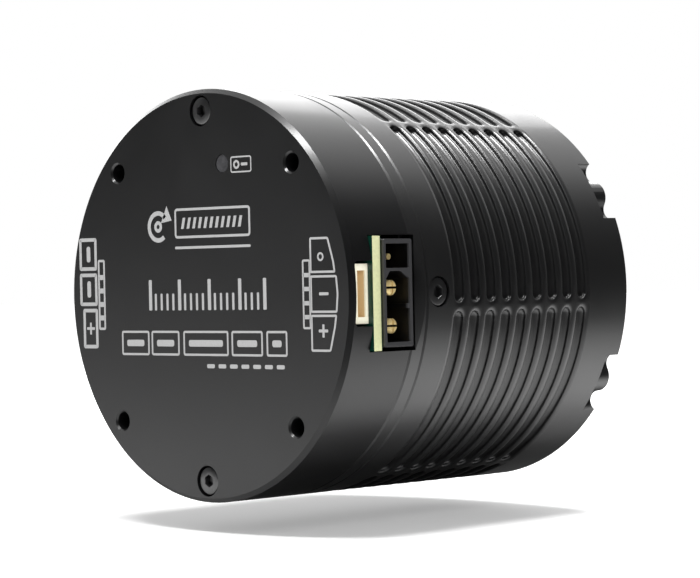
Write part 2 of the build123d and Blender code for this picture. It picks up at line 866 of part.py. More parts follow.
with BuildPart() as signal_pins:
    for pin_station, leg_x in zip(signal_stations, (pin_leg_x, pin_leg_x - 1.2)):
        with BuildSketch(Plane.YZ.offset(leg_x)):
            with Locations((y_at(pin_station), signal_pin_z)):
                Circle(signal_pin_radius)
        extrude(amount=power_face - signal_pin_recess - leg_x)
        with BuildSketch(facing_rear(board_front)):
            with Locations((leg_x + signal_leg_radius + leg_margin, signal_pin_z)):
                Circle(signal_leg_radius)
        extrude(amount=-(pin_station - board_front))
signal_pins.part.label = "signal_pins"
export_step(signal_pins.part, "parts/signal_pins.step")

# Data connector: a small open box on the rear of the board, with four bent contacts
data_middle = board_station - data_thickness / 2
data_mouth_floor = data_face - data_mouth_depth
with BuildPart() as data_connector:
    with BuildSketch(Plane.YZ.offset(data_face)):
        with Locations((y_at(data_middle), 0)):
            Rectangle(data_thickness, data_width)
    extrude(amount=-data_depth)
    with BuildSketch(Plane.YZ.offset(data_face)):
        with Locations((y_at(data_middle), 0)):
            Rectangle(data_thickness - 2 * data_wall, data_width - 4 * data_wall)
    extrude(amount=-data_mouth_depth, mode=Mode.SUBTRACT)
    with BuildSketch(Plane.YZ.offset(data_face)):
        with Locations((y_at(data_middle), 0)):
            with GridLocations(1, data_pitch, 1, data_contact_count):
                Rectangle(data_contact, data_contact)
    extrude(amount=-data_depth, mode=Mode.SUBTRACT)
data_connector.part.label = "data_connector"
export_step(data_connector.part, "parts/data_connector.step")

contact_tip = data_mouth_floor + data_mouth_depth / 2
contact_leg = data_face - data_depth - data_leg
with BuildPart() as data_contacts:
    with BuildSketch(Plane.XY.offset(-data_contact / 2)):
        with BuildLine():
            Polyline(
                (contact_tip, y_at(data_middle - data_contact / 2)),
                (contact_leg, y_at(data_middle - data_contact / 2)),
                (contact_leg, y_at(board_station)),
                (contact_leg + data_contact, y_at(board_station)),
                (contact_leg + data_contact, y_at(data_middle + data_contact / 2)),
                (contact_tip, y_at(data_middle + data_contact / 2)),
                close=True,
            )
        make_face()
    contact_blank = extrude(amount=data_contact, mode=Mode.PRIVATE)
    middle_contact = (data_contact_count - 1) / 2
    contact_heights = [data_pitch * (index - middle_contact) for index in range(data_contact_count)]
    with Locations(*[(0, 0, height) for height in contact_heights]):
        add(contact_blank)
data_contacts.part.label = "data_contacts"
export_step(data_contacts.part, "parts/data_contacts.step")

# Phase leads from the board through the end plate to the coils
with BuildPart() as phase_leads:
    with BuildSketch(facing_rear(board_front)):
        for wire_angle in wire_angles:
            with PolarLocations(phase_wire_circle, 1, start_angle=wire_angle):
                Circle(phase_wire_radius)
    extrude(amount=-(coil_rear - board_front))
phase_leads.part.label = "phase_leads"
export_step(phase_leads.part, "parts/phase_leads.step")

# Motor core: a yoke with twelve teeth and wide tooth tips
with BuildPart() as stator_core:
    with BuildSketch(facing_rear(stator_station)):
        Circle(tip_outer)
        with PolarLocations(tooth_bore + 0.5, stator_teeth, start_angle=180.0 / stator_teeth):
            Rectangle(3.0, tooth_gap, mode=Mode.SUBTRACT)
        with PolarLocations(0, stator_teeth):
            with Locations((tooth_bore + 0.2, 0)):
                Rectangle(yoke_inner - tooth_bore + 0.4, tooth_width, align=(Align.MIN, Align.CENTER))
        with BuildSketch(facing_rear(stator_station), mode=Mode.PRIVATE) as yoke:
            Circle(spigot_radius)
            Circle(yoke_inner, mode=Mode.SUBTRACT)
        add(yoke.sketch)
        Circle(tooth_bore, mode=Mode.SUBTRACT)
    extrude(amount=-stator_length)
stator_core.part.label = "stator_core"
export_step(stator_core.part, "parts/stator_core.step")

# Coils: one rectangular winding round each tooth
with BuildPart() as stator_coils:
    coil_width_across = tooth_width + 2 * (coil_gap + coil_width)
    coil_middle = stator_station + stator_length / 2
    with BuildSketch(Plane.YZ.offset(coil_inner)):
        with Locations((y_at(coil_middle), 0)):
            Rectangle(coil_front - coil_rear, coil_width_across)
            Rectangle(stator_length + 2 * coil_gap, tooth_width + 2 * coil_gap, mode=Mode.SUBTRACT)
    coil_blank = extrude(amount=coil_outer - coil_inner, mode=Mode.PRIVATE)
    tooth_angles = [360.0 * index / stator_teeth for index in range(stator_teeth)]
    with Locations(*[Location((0, 0, 0), (0, 1, 0), angle) for angle in tooth_angles]):
        add(coil_blank)
stator_coils.part.label = "stator_coils"
export_step(stator_coils.part, "parts/stator_coils.step")

# Motor bearings and the plate between motor and gears
rear_outer_ring, rear_inner_ring = bearing_rings(
    rotor_shaft_radius, motor_bearing_radius, rear_bearing_station, motor_bearing_width, motor_race
)
with BuildPart() as rear_bearing_outer:
    revolve(rear_outer_ring, axis=Axis.Y)
rear_bearing_outer.part.label = "rear_bearing_outer"
export_step(rear_bearing_outer.part, "parts/rear_bearing_outer.step")

with BuildPart() as rear_bearing_inner:
    revolve(rear_inner_ring, axis=Axis.Y)
rear_bearing_inner.part.label = "rear_bearing_inner"
export_step(rear_bearing_inner.part, "parts/rear_bearing_inner.step")

front_outer_ring, front_inner_ring = bearing_rings(
    rotor_shaft_radius, motor_bearing_radius, front_bearing_station, motor_bearing_width, motor_race
)
with BuildPart() as front_bearing_outer:
    revolve(front_outer_ring, axis=Axis.Y)
front_bearing_outer.part.label = "front_bearing_outer"
export_step(front_bearing_outer.part, "parts/front_bearing_outer.step")

with BuildPart() as front_bearing_inner:
    revolve(front_inner_ring, axis=Axis.Y)
front_bearing_inner.part.label = "front_bearing_inner"
export_step(front_bearing_inner.part, "parts/front_bearing_inner.step")

with BuildPart() as centre_plate:
    revolve(
        turned(
            (pocket_radius, centre_hub_rear),
            (hub_radius, centre_hub_rear),
            (hub_radius, centre_plate_station),
            (spigot_radius, centre_plate_station),
            (spigot_radius, centre_plate_front),
            (motor_bearing_radius - bearing_lip, centre_plate_front),
            (motor_bearing_radius - bearing_lip, front_bearing_front),
            (pocket_radius, front_bearing_front),
        ),
        axis=Axis.Y,
    )
centre_plate.part.label = "centre_plate"
export_step(centre_plate.part, "parts/centre_plate.step")

# Rotor: hollow shaft, core with a web, magnets, and the magnet ring that the board reads
with BuildPart() as rotor_shaft:
    revolve(tube_section(rotor_shaft_bore, rotor_shaft_radius, shaft_rear, shaft_front), axis=Axis.Y)
rotor_shaft.part.label = "rotor_shaft"
export_step(rotor_shaft.part, "parts/rotor_shaft.step")

web_rear = stator_station + (stator_length - rotor_web) / 2
with BuildPart() as rotor_core:
    revolve(
        turned(
            (rotor_shaft_radius, rear_bearing_front),
            (rotor_hub_radius, rear_bearing_front),
            (rotor_hub_radius, web_rear),
            (rotor_ring_inner, web_rear),
            (rotor_ring_inner, stator_station),
            (magnet_inner, stator_station),
            (magnet_inner, stator_front),
            (rotor_ring_inner, stator_front),
            (rotor_ring_inner, web_rear + rotor_web),
            (rotor_hub_radius, web_rear + rotor_web),
            (rotor_hub_radius, front_bearing_station),
            (rotor_shaft_radius, front_bearing_station),
        ),
        axis=Axis.Y,
    )
rotor_core.part.label = "rotor_core"
export_step(rotor_core.part, "parts/rotor_core.step")

magnet_middle = (magnet_inner + magnet_outer) / 2
magnet_spacing = 2 * pi * magnet_middle / magnet_count * (1 - magnet_share)
with BuildPart() as rotor_magnets:
    with BuildSketch(facing_rear(stator_station)):
        Circle(magnet_outer)
        Circle(magnet_inner, mode=Mode.SUBTRACT)
        with PolarLocations(magnet_middle, magnet_count):
            Rectangle(2 * magnet_thickness, magnet_spacing, mode=Mode.SUBTRACT)
    extrude(amount=-stator_length)
rotor_magnets.part.label = "rotor_magnets"
export_step(rotor_magnets.part, "parts/rotor_magnets.step")

with BuildPart() as rotor_encoder_ring:
    revolve(
        turned(
            (rotor_shaft_radius, shaft_rear),
            (rotor_magnet_inner, shaft_rear),
            (rotor_magnet_inner, output_magnet_rear),
            (rotor_magnet_outer, output_magnet_rear),
            (rotor_magnet_outer, shaft_rear + rotor_flange),
            (rotor_shaft_radius, shaft_rear + rotor_flange),
        ),
        axis=Axis.Y,
    )
rotor_encoder_ring.part.label = "rotor_encoder_ring"
export_step(rotor_encoder_ring.part, "parts/rotor_encoder_ring.step")

# Gear ring that both stages share
with BuildPart() as ring_gear:
    extrude(ring_gear_face(facing_rear(ring_gear_station)), amount=-ring_gear_length)
ring_gear.part.label = "ring_gear"
export_step(ring_gear.part, "parts/ring_gear.step")

# First stage: sun on the rotor shaft, three planets on the pins of the first carrier
with BuildPart() as first_sun_gear:
    first_sun_face = gear_face(sun_teeth, 0, rotor_shaft_radius, facing_rear(first_stage_station))
    extrude(first_sun_face, amount=-first_stage_width)
first_sun_gear.part.label = "first_sun_gear"
export_step(first_sun_gear.part, "parts/first_sun_gear.step")

planet_bore = planet_pin_radius + running_clearance
for letter, angle in zip("abc", orbit_angles()):
    planet_name = "first_planet_" + letter
    planet_plane = planet_place(angle, first_stage_station)
    with BuildPart() as planet:
        planet_face = gear_face(planet_teeth, planet_phase(angle), planet_bore, planet_plane)
        extrude(planet_face, amount=-first_stage_width)
    planet.part.label = planet_name
    export_step(planet.part, "parts/" + planet_name + ".step")

with BuildPart() as first_carrier:
    with BuildSketch(facing_rear(first_plate_station)):
        Circle(first_carrier_radius)
        Circle(rotor_shaft_radius + running_clearance, mode=Mode.SUBTRACT)
        with PolarLocations(planet_orbit, planet_count, start_angle=first_planet_angle):
            Circle(planet_pin_radius, mode=Mode.SUBTRACT)
    extrude(amount=-first_carrier_plate)
first_carrier.part.label = "first_carrier"
export_step(first_carrier.part, "parts/first_carrier.step")

with BuildPart() as first_planet_pins:
    with BuildSketch(facing_rear(pin_rear)):
        with PolarLocations(planet_orbit, planet_count, start_angle=first_planet_angle):
            Circle(planet_pin_radius)
    extrude(amount=-(first_plate_front - pin_rear))
first_planet_pins.part.label = "first_planet_pins"
export_step(first_planet_pins.part, "parts/first_planet_pins.step")

with BuildPart() as second_sun_gear:
    second_sun_face = gear_face(sun_teeth, 0, rotor_shaft_bore, facing_rear(first_plate_front))
    extrude(second_sun_face, amount=-(second_stage_front - first_plate_front))
second_sun_gear.part.label = "second_sun_gear"
export_step(second_sun_gear.part, "parts/second_sun_gear.step")

# Second stage: three wider planets on the pins of the output carrier
for letter, angle in zip("abc", orbit_angles()):
    planet_name = "second_planet_" + letter
    planet_plane = planet_place(angle, second_stage_station)
    with BuildPart() as planet:
        planet_face = gear_face(planet_teeth, planet_phase(angle), planet_bore, planet_plane)
        extrude(planet_face, amount=-second_stage_width)
    planet.part.label = planet_name
    export_step(planet.part, "parts/" + planet_name + ".step")

with BuildPart() as output_carrier:
    revolve(
        turned(
            (rod_radius, carrier_rear),
            (carrier_plate_radius, carrier_rear),
            (carrier_plate_radius, output_bearing_station),
            (output_bearing_bore, output_bearing_station),
            (output_bearing_bore, carrier_front),
            (rod_radius, carrier_front),
        ),
        axis=Axis.Y,
    )
    with BuildSketch(facing_rear(carrier_rear)):
        with PolarLocations(planet_orbit, planet_count, start_angle=first_planet_angle):
            Circle(planet_pin_radius)
    extrude(amount=-(output_bearing_station - carrier_rear), mode=Mode.SUBTRACT)
    with BuildSketch(facing_rear(carrier_rear)):
        with PolarLocations(clamp_screw_circle, planet_count, start_angle=clamp_screw_angle):
            Circle(clamp_screw_shank + housing_fit)
    extrude(amount=-(carrier_front - carrier_rear), mode=Mode.SUBTRACT)
output_carrier.part.label = "output_carrier"
export_step(output_carrier.part, "parts/output_carrier.step")

with BuildPart() as second_planet_pins:
    with BuildSketch(facing_rear(second_pin_rear)):
        with PolarLocations(planet_orbit, planet_count, start_angle=first_planet_angle):
            Circle(planet_pin_radius)
    extrude(amount=-(output_bearing_station - second_pin_rear))
second_planet_pins.part.label = "second_planet_pins"
export_step(second_planet_pins.part, "parts/second_planet_pins.step")

# Output bearing and the threaded ring that holds it in the housing
output_outer_ring, output_inner_ring = bearing_rings(
    output_bearing_bore, output_bearing_radius, output_bearing_station, output_bearing_width, output_race
)
with BuildPart() as output_bearing_outer:
    revolve(output_outer_ring, axis=Axis.Y)
output_bearing_outer.part.label = "output_bearing_outer"
export_step(output_bearing_outer.part, "parts/output_bearing_outer.step")

with BuildPart() as output_bearing_inner:
    revolve(output_inner_ring, axis=Axis.Y)
output_bearing_inner.part.label = "output_bearing_inner"
export_step(output_bearing_inner.part, "parts/output_bearing_inner.step")

retainer_bore = output_bearing_radius - retainer_width
with BuildPart() as bearing_retainer:
    revolve(
        tube_section(retainer_bore, output_bearing_radius, output_bearing_front, retainer_front), axis=Axis.Y
    )
    retainer_middle = output_bearing_radius - retainer_width / 2
    retainer_angles = [45 + 360.0 * index / retainer_holes for index in range(retainer_holes)]
    retainer_places = [front_facing_place(retainer_middle, angle, retainer_front) for angle in retainer_angles]
    with Locations(*retainer_places):
        Hole(retainer_hole, depth=retainer_hole_depth)
bearing_retainer.part.label = "bearing_retainer"
export_step(bearing_retainer.part, "parts/bearing_retainer.step")

# Output flange: a hub inside the bearing and a face with tapped holes, clamp screws and a pilot recess
with BuildPart() as output_flange:
    revolve(
        turned(
            (0, carrier_front),
            (output_bearing_bore, carrier_front),
            (output_bearing_bore, output_bearing_front),
            (output_bearing_bore + output_race, output_bearing_front),
            (output_bearing_bore + output_race, output_bearing_front + flange_relief),
            (flange_radius, output_bearing_front + flange_relief),
            (flange_radius, output_face - flange_edge_chamfer),
            (flange_radius - flange_edge_chamfer, output_face),
            (pilot_radius, output_face),
            (pilot_radius, output_face - pilot_depth),
            (0, output_face - pilot_depth),
        ),
        axis=Axis.Y,
    )
    flange_angles = [360.0 * index / output_hole_count for index in range(output_hole_count)]
    with Locations(*[front_facing_place(output_hole_circle, angle, output_face) for angle in flange_angles]):
        Hole(output_hole, depth=output_hole_depth)
    with Locations(*[front_facing_place(clamp_screw_circle, angle, output_face) for angle in clamp_angles]):
        CounterBoreHole(
            clamp_screw_shank + shank_clearance,
            clamp_screw_head + head_clearance,
            clamp_screw_head_height + recess_margin,
            depth=output_face - carrier_front,
        )
output_flange.part.label = "output_flange"
export_step(output_flange.part, "parts/output_flange.step")

clamp_screw = socket_screw(
    clamp_screw_head,
    clamp_screw_head_height,
    clamp_screw_shank,
    clamp_screw_length,
    small_socket,
    small_socket_depth,
)
with BuildPart() as output_flange_screws:
    screw_top = output_face - recess_margin
    with Locations(*[front_facing_place(clamp_screw_circle, angle, screw_top) for angle in clamp_angles]):
        add(clamp_screw)
output_flange_screws.part.label = "output_flange_screws"
export_step(output_flange_screws.part, "parts/output_flange_screws.step")

# Position rod from the output carrier back through the hollow shaft, with its magnet over the board
with BuildPart() as output_encoder_rod:
    with BuildSketch(facing_rear(output_magnet_front)):
        Circle(rod_radius)
    extrude(amount=-(carrier_front - output_magnet_front))
output_encoder_rod.part.label = "output_encoder_rod"
export_step(output_encoder_rod.part, "parts/output_encoder_rod.step")

with BuildPart() as output_encoder_magnet:
    with BuildSketch(facing_rear(output_magnet_rear)):
        Circle(output_magnet_radius)
    extrude(amount=-output_magnet_height)
output_encoder_magnet.part.label = "output_encoder_magnet"
export_step(output_encoder_magnet.part, "parts/output_encoder_magnet.step")
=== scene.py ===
"""Finishes for a finned robot joint actuator: shells, fasteners, connectors and a plain studio."""

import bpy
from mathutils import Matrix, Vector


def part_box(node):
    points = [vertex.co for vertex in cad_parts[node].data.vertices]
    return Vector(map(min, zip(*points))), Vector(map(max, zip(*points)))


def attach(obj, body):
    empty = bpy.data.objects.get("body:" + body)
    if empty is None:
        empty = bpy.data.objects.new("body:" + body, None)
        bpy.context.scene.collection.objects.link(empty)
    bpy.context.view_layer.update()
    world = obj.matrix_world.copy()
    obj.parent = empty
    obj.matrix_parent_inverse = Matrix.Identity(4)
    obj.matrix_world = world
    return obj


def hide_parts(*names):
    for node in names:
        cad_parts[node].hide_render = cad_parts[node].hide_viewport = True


bl_info = {
    "name": "Joint Actuator Finishes",
    "version": (1, 0, 0),
    "blender": (4, 5, 0),
    "location": "3D View > Sidebar > Actuator",
    "description": "Gives a finned joint actuator its shells, fasteners, connectors and finishes",
    "category": "Object",
}

from math import atan2, cos, pi, radians, sin, sqrt

import bmesh
import bpy
from bpy.props import FloatProperty, FloatVectorProperty, IntProperty, PointerProperty
from bpy.types import Operator, Panel, PropertyGroup
from mathutils import Matrix, Vector

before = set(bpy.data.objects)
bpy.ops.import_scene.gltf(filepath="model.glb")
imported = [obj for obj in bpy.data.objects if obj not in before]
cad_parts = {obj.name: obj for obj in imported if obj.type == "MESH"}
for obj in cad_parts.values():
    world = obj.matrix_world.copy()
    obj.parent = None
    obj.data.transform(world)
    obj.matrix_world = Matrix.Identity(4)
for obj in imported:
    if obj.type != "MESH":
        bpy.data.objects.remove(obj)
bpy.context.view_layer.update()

MM = 0.001
MERGE_DISTANCE = 0.0005 * MM
SEAM_DISTANCE = 0.002 * MM

# Folds: the flat ones are dissolved, the next are smoothed, and the sharp ones rounded
FLAT_FOLD = radians(0.3)
TURNED_FOLD = radians(30)
MOULDED_FOLD = radians(28)
SCREW_FOLD = radians(40)
BROKEN_FOLD = radians(40)

# Faces nearer the axis or more slanted keep their own normals
AXIS_REACH = 3 * MM
SLANT_LIMIT = 0.09

# Steps of a slot's ends, sides, rim, rib and floor
END_STEPS = 24
SIDE_CUTS = 21
RIM_TURNS = (pi / 8, pi / 4, 3 * pi / 8)
CROWN_STEPS = ((0.3, 0.72), (0.62, 0.22))
FLOOR_TURNS = [radians(turn) for turn in (0, 18, 36, 54, 72)]
STRAIGHT_WALL = 0.48

# Screws, lens, ink and studio
COVER_SCREW = {
    "head": 1.9 * MM,
    "height": 2.0 * MM,
    "socket": 1.5 * MM,
    "depth": 1.0 * MM,
    "shank": 0.98 * MM,
}
FLANGE_SCREW = {**COVER_SCREW, "head": 2.1 * MM, "height": 1.5 * MM, "shank": 1.25 * MM}
SIDE_SCREW_LENGTH = 5.2 * MM
FLANGE_SCREW_CIRCLE = 8.3 * MM
FLANGE_SCREW_TURN = 30
LENS_RADIUS = 1.2 * MM
LENS_STEPS = ((0.2, 0.05), (0.3, 0.03), (0.35, 0.015))
LENS_RECESS = 0.1 * MM
INK_HEIGHT = 0.012 * MM
INK_THICKNESS = 0.022 * MM
FLOOR_SIZE = 2.5
SENSOR = 36
MIDDLE = (0, -0.028, 0)
BRIGHT_SIDE = (-0.65, 0.45, 0.6)
LIGHTS = (
    ("ridge", (0.05, 0.1, 0.5), (0.14, 0.1)),
    ("edge", (0.06, -0.29, 0.48), (0.18, 0.07)),
    ("back", (-0.46, 0.38, 0.27), (0.6, 0.4)),
    ("front", (0.42, -0.2, 0.2), (0.3, 0.3)),
)


def mm_length(name, description, default):
    """A length setting, its default given in mm."""
    return FloatProperty(name=name, description=description, default=default * MM, unit="LENGTH")


def angle(name, description, default):
    """An angle setting, its default given in degrees."""
    return FloatProperty(name=name, description=description, default=radians(default), subtype="ANGLE")


def power(name, place, default):
    """The power setting of a light, in watts."""
    return FloatProperty(name=name, description=f"Power of the light {place} in watts", default=default)


def color(name, description, default):
    """A colour setting."""
    return FloatVectorProperty(name=name, description=description, default=default, subtype="COLOR")


class ACTUATOR_PG_body(PropertyGroup):
    """Sizes of the machined shells."""

    radius: mm_length("Body radius", "Outside radius of the shells", 28)
    length: mm_length("Body length", "Rear face to front mounting face", 56.8)
    slot_width: mm_length("Slot width", "Width of one cooling slot", 1.9)
    slot_depth: mm_length("Slot depth", "Depth of one cooling slot", 0.9)
    slot_pitch: mm_length("Slot pitch", "Distance between slot rows", 3.22)
    slot_start: mm_length("First slot", "Rear face to the middle of the first row", 20.7)
    slot_rows: IntProperty(name="Slot rows", description="Rows of slots along the body", default=9, min=1)
    sectors: IntProperty(name="Sectors", description="Slots in one row round the body", default=6, min=2)
    land: mm_length("Land", "Metal between the ends of two slots", 1.3)
    land_angle: angle("Land angle", "Turn of the first land from +X", -4.3)
    crown: mm_length("Rib crown", "Drop of a rib's edges below its middle", 0.11)
    edge: mm_length("Edge break", "Rounding along the slots", 0.2)


class ACTUATOR_PG_finish(PropertyGroup):
    """Colours and gloss of the finishes."""

    anodised: color("Anodised", "Colour of the anodised shells", (0.0035, 0.0035, 0.0038))
    anodised_roughness: FloatProperty(
        name="Anodised roughness", description="Roughness of the shells", default=0.36, subtype="FACTOR"
    )
    ink: color("Ink", "Colour of the printed marks", (0.42, 0.42, 0.42))
    gold: color("Gold", "Colour of the contacts", (1.0, 0.78, 0.36))
    cream: color("Cream", "Colour of the data connector", (1.0, 0.93, 0.74))
    laminate: color("Laminate", "Colour of the board's cut edge", (0.72, 0.74, 0.42))
    mask: color("Solder mask", "Colour of the board's faces", (0.004, 0.035, 0.022))


class ACTUATOR_PG_stage(PropertyGroup):
    """Camera and studio."""

    lens: FloatProperty(name="Lens", description="Focal length on a 36 mm sensor", default=131.06)
    azimuth: angle("Azimuth", "Camera's turn round the object", 44.2714)
    elevation: angle("Elevation", "Camera's height angle", 0.3531)
    roll: angle("Roll", "Camera's tilt", -1.1934)
    place: FloatVectorProperty(
        name="Place",
        description="Camera's place",
        subtype="TRANSLATION",
        default=(0.25477, -0.28979, 0.00267),
    )
    floor: mm_length("Floor", "Height of the floor", -32.2)
    ridge: power("Ridge light", "overhead", 2.0)
    edge: power("Edge light", "over the rear edge", 2.0)
    back: power("Back light", "behind the part", 2.0)
    front: power("Front light", "at the camera's side", 1.0)


# Mesh helpers


def node_mesh(node):
    """A merged copy of a solid's mesh, with flat areas made whole."""
    bm = bmesh.new()
    bm.from_mesh(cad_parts[node].data)
    bmesh.ops.remove_doubles(bm, verts=bm.verts, dist=MERGE_DISTANCE)
    bmesh.ops.dissolve_limit(bm, angle_limit=FLAT_FOLD, verts=bm.verts, edges=bm.edges)
    return bm


def open_edges(bm):
    """Edges with a face on one side only."""
    return [edge for edge in bm.edges if len(edge.link_faces) == 1]


def grow_edges(bm, edges):
    """Extrudes edges, and gives the new vertices and the edges between them."""
    grown = bmesh.ops.extrude_edge_only(bm, edges=edges)["geom"]
    corners = [item for item in grown if isinstance(item, bmesh.types.BMVert)]
    lines = [item for item in grown if isinstance(item, bmesh.types.BMEdge)]
    return corners, [line for line in lines if all(end in corners for end in line.verts)]


def break_edges(bm, width):
    """Rounds the edges that fold sharply."""
    folded = [edge for edge in bm.edges if len(edge.link_faces) == 2]
    bmesh.ops.bevel(
        bm,
        geom=[edge for edge in folded if edge.calc_face_angle(0.0) >= BROKEN_FOLD],
        offset=width,
        offset_type="OFFSET",
        segments=2,
        profile=0.5,
        affect="EDGES",
        clamp_overlap=True,
        material=-1,
    )


def shade_turned(mesh, smooth_span):
    """Gives turned surfaces the exact normals of their cylinders and cones, and smooths the rest.

    Faces between the two values of Y in the span keep their smoothed normals.
    """
    bm = bmesh.new()
    bm.from_mesh(mesh)
    for face in bm.faces:
        face.smooth = True
    for edge in bm.edges:
        edge.smooth = len(edge.link_faces) == 2 and edge.calc_face_angle(0.0) < TURNED_FOLD
    bm.to_mesh(mesh)
    bm.free()
    normals = [Vector(item.vector) for item in mesh.corner_normals]
    for polygon in mesh.polygons:
        centre = polygon.center
        reach = sqrt(centre.x**2 + centre.z**2)
        if reach < AXIS_REACH or smooth_span and smooth_span[0] < centre.y < smooth_span[1]:
            continue
        outward = Vector((centre.x / reach, 0, centre.z / reach))
        across = Vector((-outward.z, 0, outward.x))
        if abs(polygon.normal.dot(across)) > SLANT_LIMIT:
            continue
        axial = polygon.normal.y
        radial = polygon.normal.dot(outward)
        size = sqrt(axial**2 + radial**2)
        for loop in polygon.loop_indices:
            spot = mesh.vertices[mesh.loops[loop].vertex_index].co
            spot_reach = max(sqrt(spot.x**2 + spot.z**2), 1e-9)
            scale = radial / size / spot_reach
            normals[loop] = Vector((spot.x * scale, axial / size, spot.z * scale))
    mesh.normals_split_custom_set(normals)


def smooth_folds(mesh, limit):
    """Smooths a mesh over every fold below the limit."""
    for polygon in mesh.polygons:
        polygon.use_smooth = True
    mesh.set_sharp_from_angle(angle=limit)


def add_piece(name, bm, finish, body, nodes=(), turned=True, smooth_span=()):
    """Makes an object of a finished mesh, dresses it and sets it on its body."""
    mesh = bpy.data.meshes.new(name)
    bm.to_mesh(mesh)
    bm.free()
    mesh.materials.append(finish)
    if turned:
        shade_turned(mesh, smooth_span)
    piece = bpy.data.objects.new(name, mesh)
    bpy.context.scene.collection.objects.link(piece)
    if nodes:
        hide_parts(*nodes)
    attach(piece, body)
    return mesh


# Shader helpers


def new_group(name, inputs, outputs):
    """An empty shader group: an input is a number if it has a default and a vector if not."""
    group = bpy.data.node_groups.new(name, "ShaderNodeTree")
    for title, default in inputs:
        kind = "NodeSocketVector" if default is None else "NodeSocketFloat"
        socket = group.interface.new_socket(name=title, in_out="INPUT", socket_type=kind)
        if default is not None:
            socket.default_value = default
    for title in outputs:
        group.interface.new_socket(name=title, in_out="OUTPUT", socket_type="NodeSocketFloat")
    return group, group.nodes.new("NodeGroupInput"), group.nodes.new("NodeGroupOutput")


def math_node(tree, operation, first, second=None):
    """A Math node fed by sockets or numbers."""
    node = tree.nodes.new("ShaderNodeMath")
    node.operation = operation
    for index, value in enumerate((first, second)):
        if isinstance(value, (int, float)):
            node.inputs[index].default_value = value
        elif value is not None:
            tree.links.new(value, node.inputs[index])
    return node.outputs[0]


def split_vector(tree, vector):
    """The X, Y and Z sockets of a vector."""
    node = tree.nodes.new("ShaderNodeSeparateXYZ")
    tree.links.new(vector, node.inputs[0])
    return node.outputs


def add_noise(tree, vector, scale, detail=2.0, distortion=0.0):
    """A noise pattern on the given coordinates."""
    noise = tree.nodes.new("ShaderNodeTexNoise")
    noise.inputs["Detail"].default_value = detail
    noise.inputs["Distortion"].default_value = distortion
    tree.links.new(vector, noise.inputs["Vector"])
    if isinstance(scale, float):
        noise.inputs["Scale"].default_value = scale
    else:
        tree.links.new(scale, noise.inputs["Scale"])
    return noise.outputs["Fac"]


def grain_group():
    """Fine blasted grain with slow clouds in it."""
    if "Blasted Grain" in bpy.data.node_groups:
        return bpy.data.node_groups["Blasted Grain"]
    group, start, end = new_group(
        "Blasted Grain",
        [("Vector", None), ("Grain Scale", 5200.0), ("Cloud Scale", 60.0)],
        ["Grain", "Clouds"],
    )
    place = start.outputs["Vector"]
    grain = add_noise(group, place, start.outputs["Grain Scale"])
    clouds = add_noise(group, place, start.outputs["Cloud Scale"], 4.0, 0.6)
    group.links.new(grain, end.inputs["Grain"])
    group.links.new(clouds, end.inputs["Clouds"])
    return group


def turning_group():
    """Rings left by a lathe round the Y axis."""
    if "Turning Marks" in bpy.data.node_groups:
        return bpy.data.node_groups["Turning Marks"]
    group, start, end = new_group("Turning Marks", [("Vector", None), ("Ring Scale", 9000.0)], ["Rings"])
    split = split_vector(group, start.outputs["Vector"])
    across = math_node(group, "MULTIPLY", split["X"], split["X"])
    up = math_node(group, "MULTIPLY", split["Z"], split["Z"])
    reach = math_node(group, "SQRT", math_node(group, "ADD", across, up))
    along = math_node(group, "ADD", reach, math_node(group, "MULTIPLY", split["Y"], 0.83))
    rings = group.nodes.new("ShaderNodeTexNoise")
    rings.noise_dimensions = "1D"
    rings.inputs["Detail"].default_value = 3.0
    group.links.new(math_node(group, "MULTIPLY", along, start.outputs["Ring Scale"]), rings.inputs["W"])
    rings.inputs["Scale"].default_value = 1.0
    group.links.new(rings.outputs["Fac"], end.inputs["Rings"])
    return group


def new_finish(name, color, roughness, metallic=0.0, ior=1.5):
    """A material with one Principled shader and Object coordinates."""
    finish = bpy.data.materials.new(name)
    finish.use_nodes = True
    tree = finish.node_tree
    shader = tree.nodes["Principled BSDF"]
    shader.inputs["Base Color"].default_value = (*color, 1.0)
    shader.inputs["Roughness"].default_value = roughness
    shader.inputs["Metallic"].default_value = metallic
    shader.inputs["IOR"].default_value = ior
    place = tree.nodes.new("ShaderNodeTexCoord")
    return finish, tree, shader, place.outputs["Object"]


def spread(tree, source, low, high, start=0.3, end=0.7):
    """Maps a pattern's values from start to end to the range from low to high."""
    node = tree.nodes.new("ShaderNodeMapRange")
    node.inputs["From Min"].default_value = start
    node.inputs["From Max"].default_value = end
    node.inputs["To Min"].default_value = low
    node.inputs["To Max"].default_value = high
    tree.links.new(source, node.inputs["Value"])
    return node.outputs["Result"]


def tint(tree, mask, first, second):
    """A colour between two, by a mask."""
    node = tree.nodes.new("ShaderNodeMix")
    node.data_type = "RGBA"
    node.inputs["A"].default_value = (*first, 1.0)
    node.inputs["B"].default_value = (*second, 1.0)
    tree.links.new(mask, node.inputs["Factor"])
    return node.outputs["Result"]


def cover_with(tree, mask, under, color):
    """A colour socket covered by a plain colour where the mask is 1."""
    node = tree.nodes.new("ShaderNodeMix")
    node.data_type = "RGBA"
    node.inputs["B"].default_value = (*color, 1.0)
    tree.links.new(mask, node.inputs["Factor"])
    tree.links.new(under, node.inputs["A"])
    return node.outputs["Result"]


def add_pattern(tree, group, place, scale_name, scale):
    """The outputs of a pattern group on the given coordinates, with one of its scales set."""
    pattern = tree.nodes.new("ShaderNodeGroup")
    pattern.node_tree = group
    pattern.inputs[scale_name].default_value = scale
    tree.links.new(place, pattern.inputs["Vector"])
    return pattern.outputs


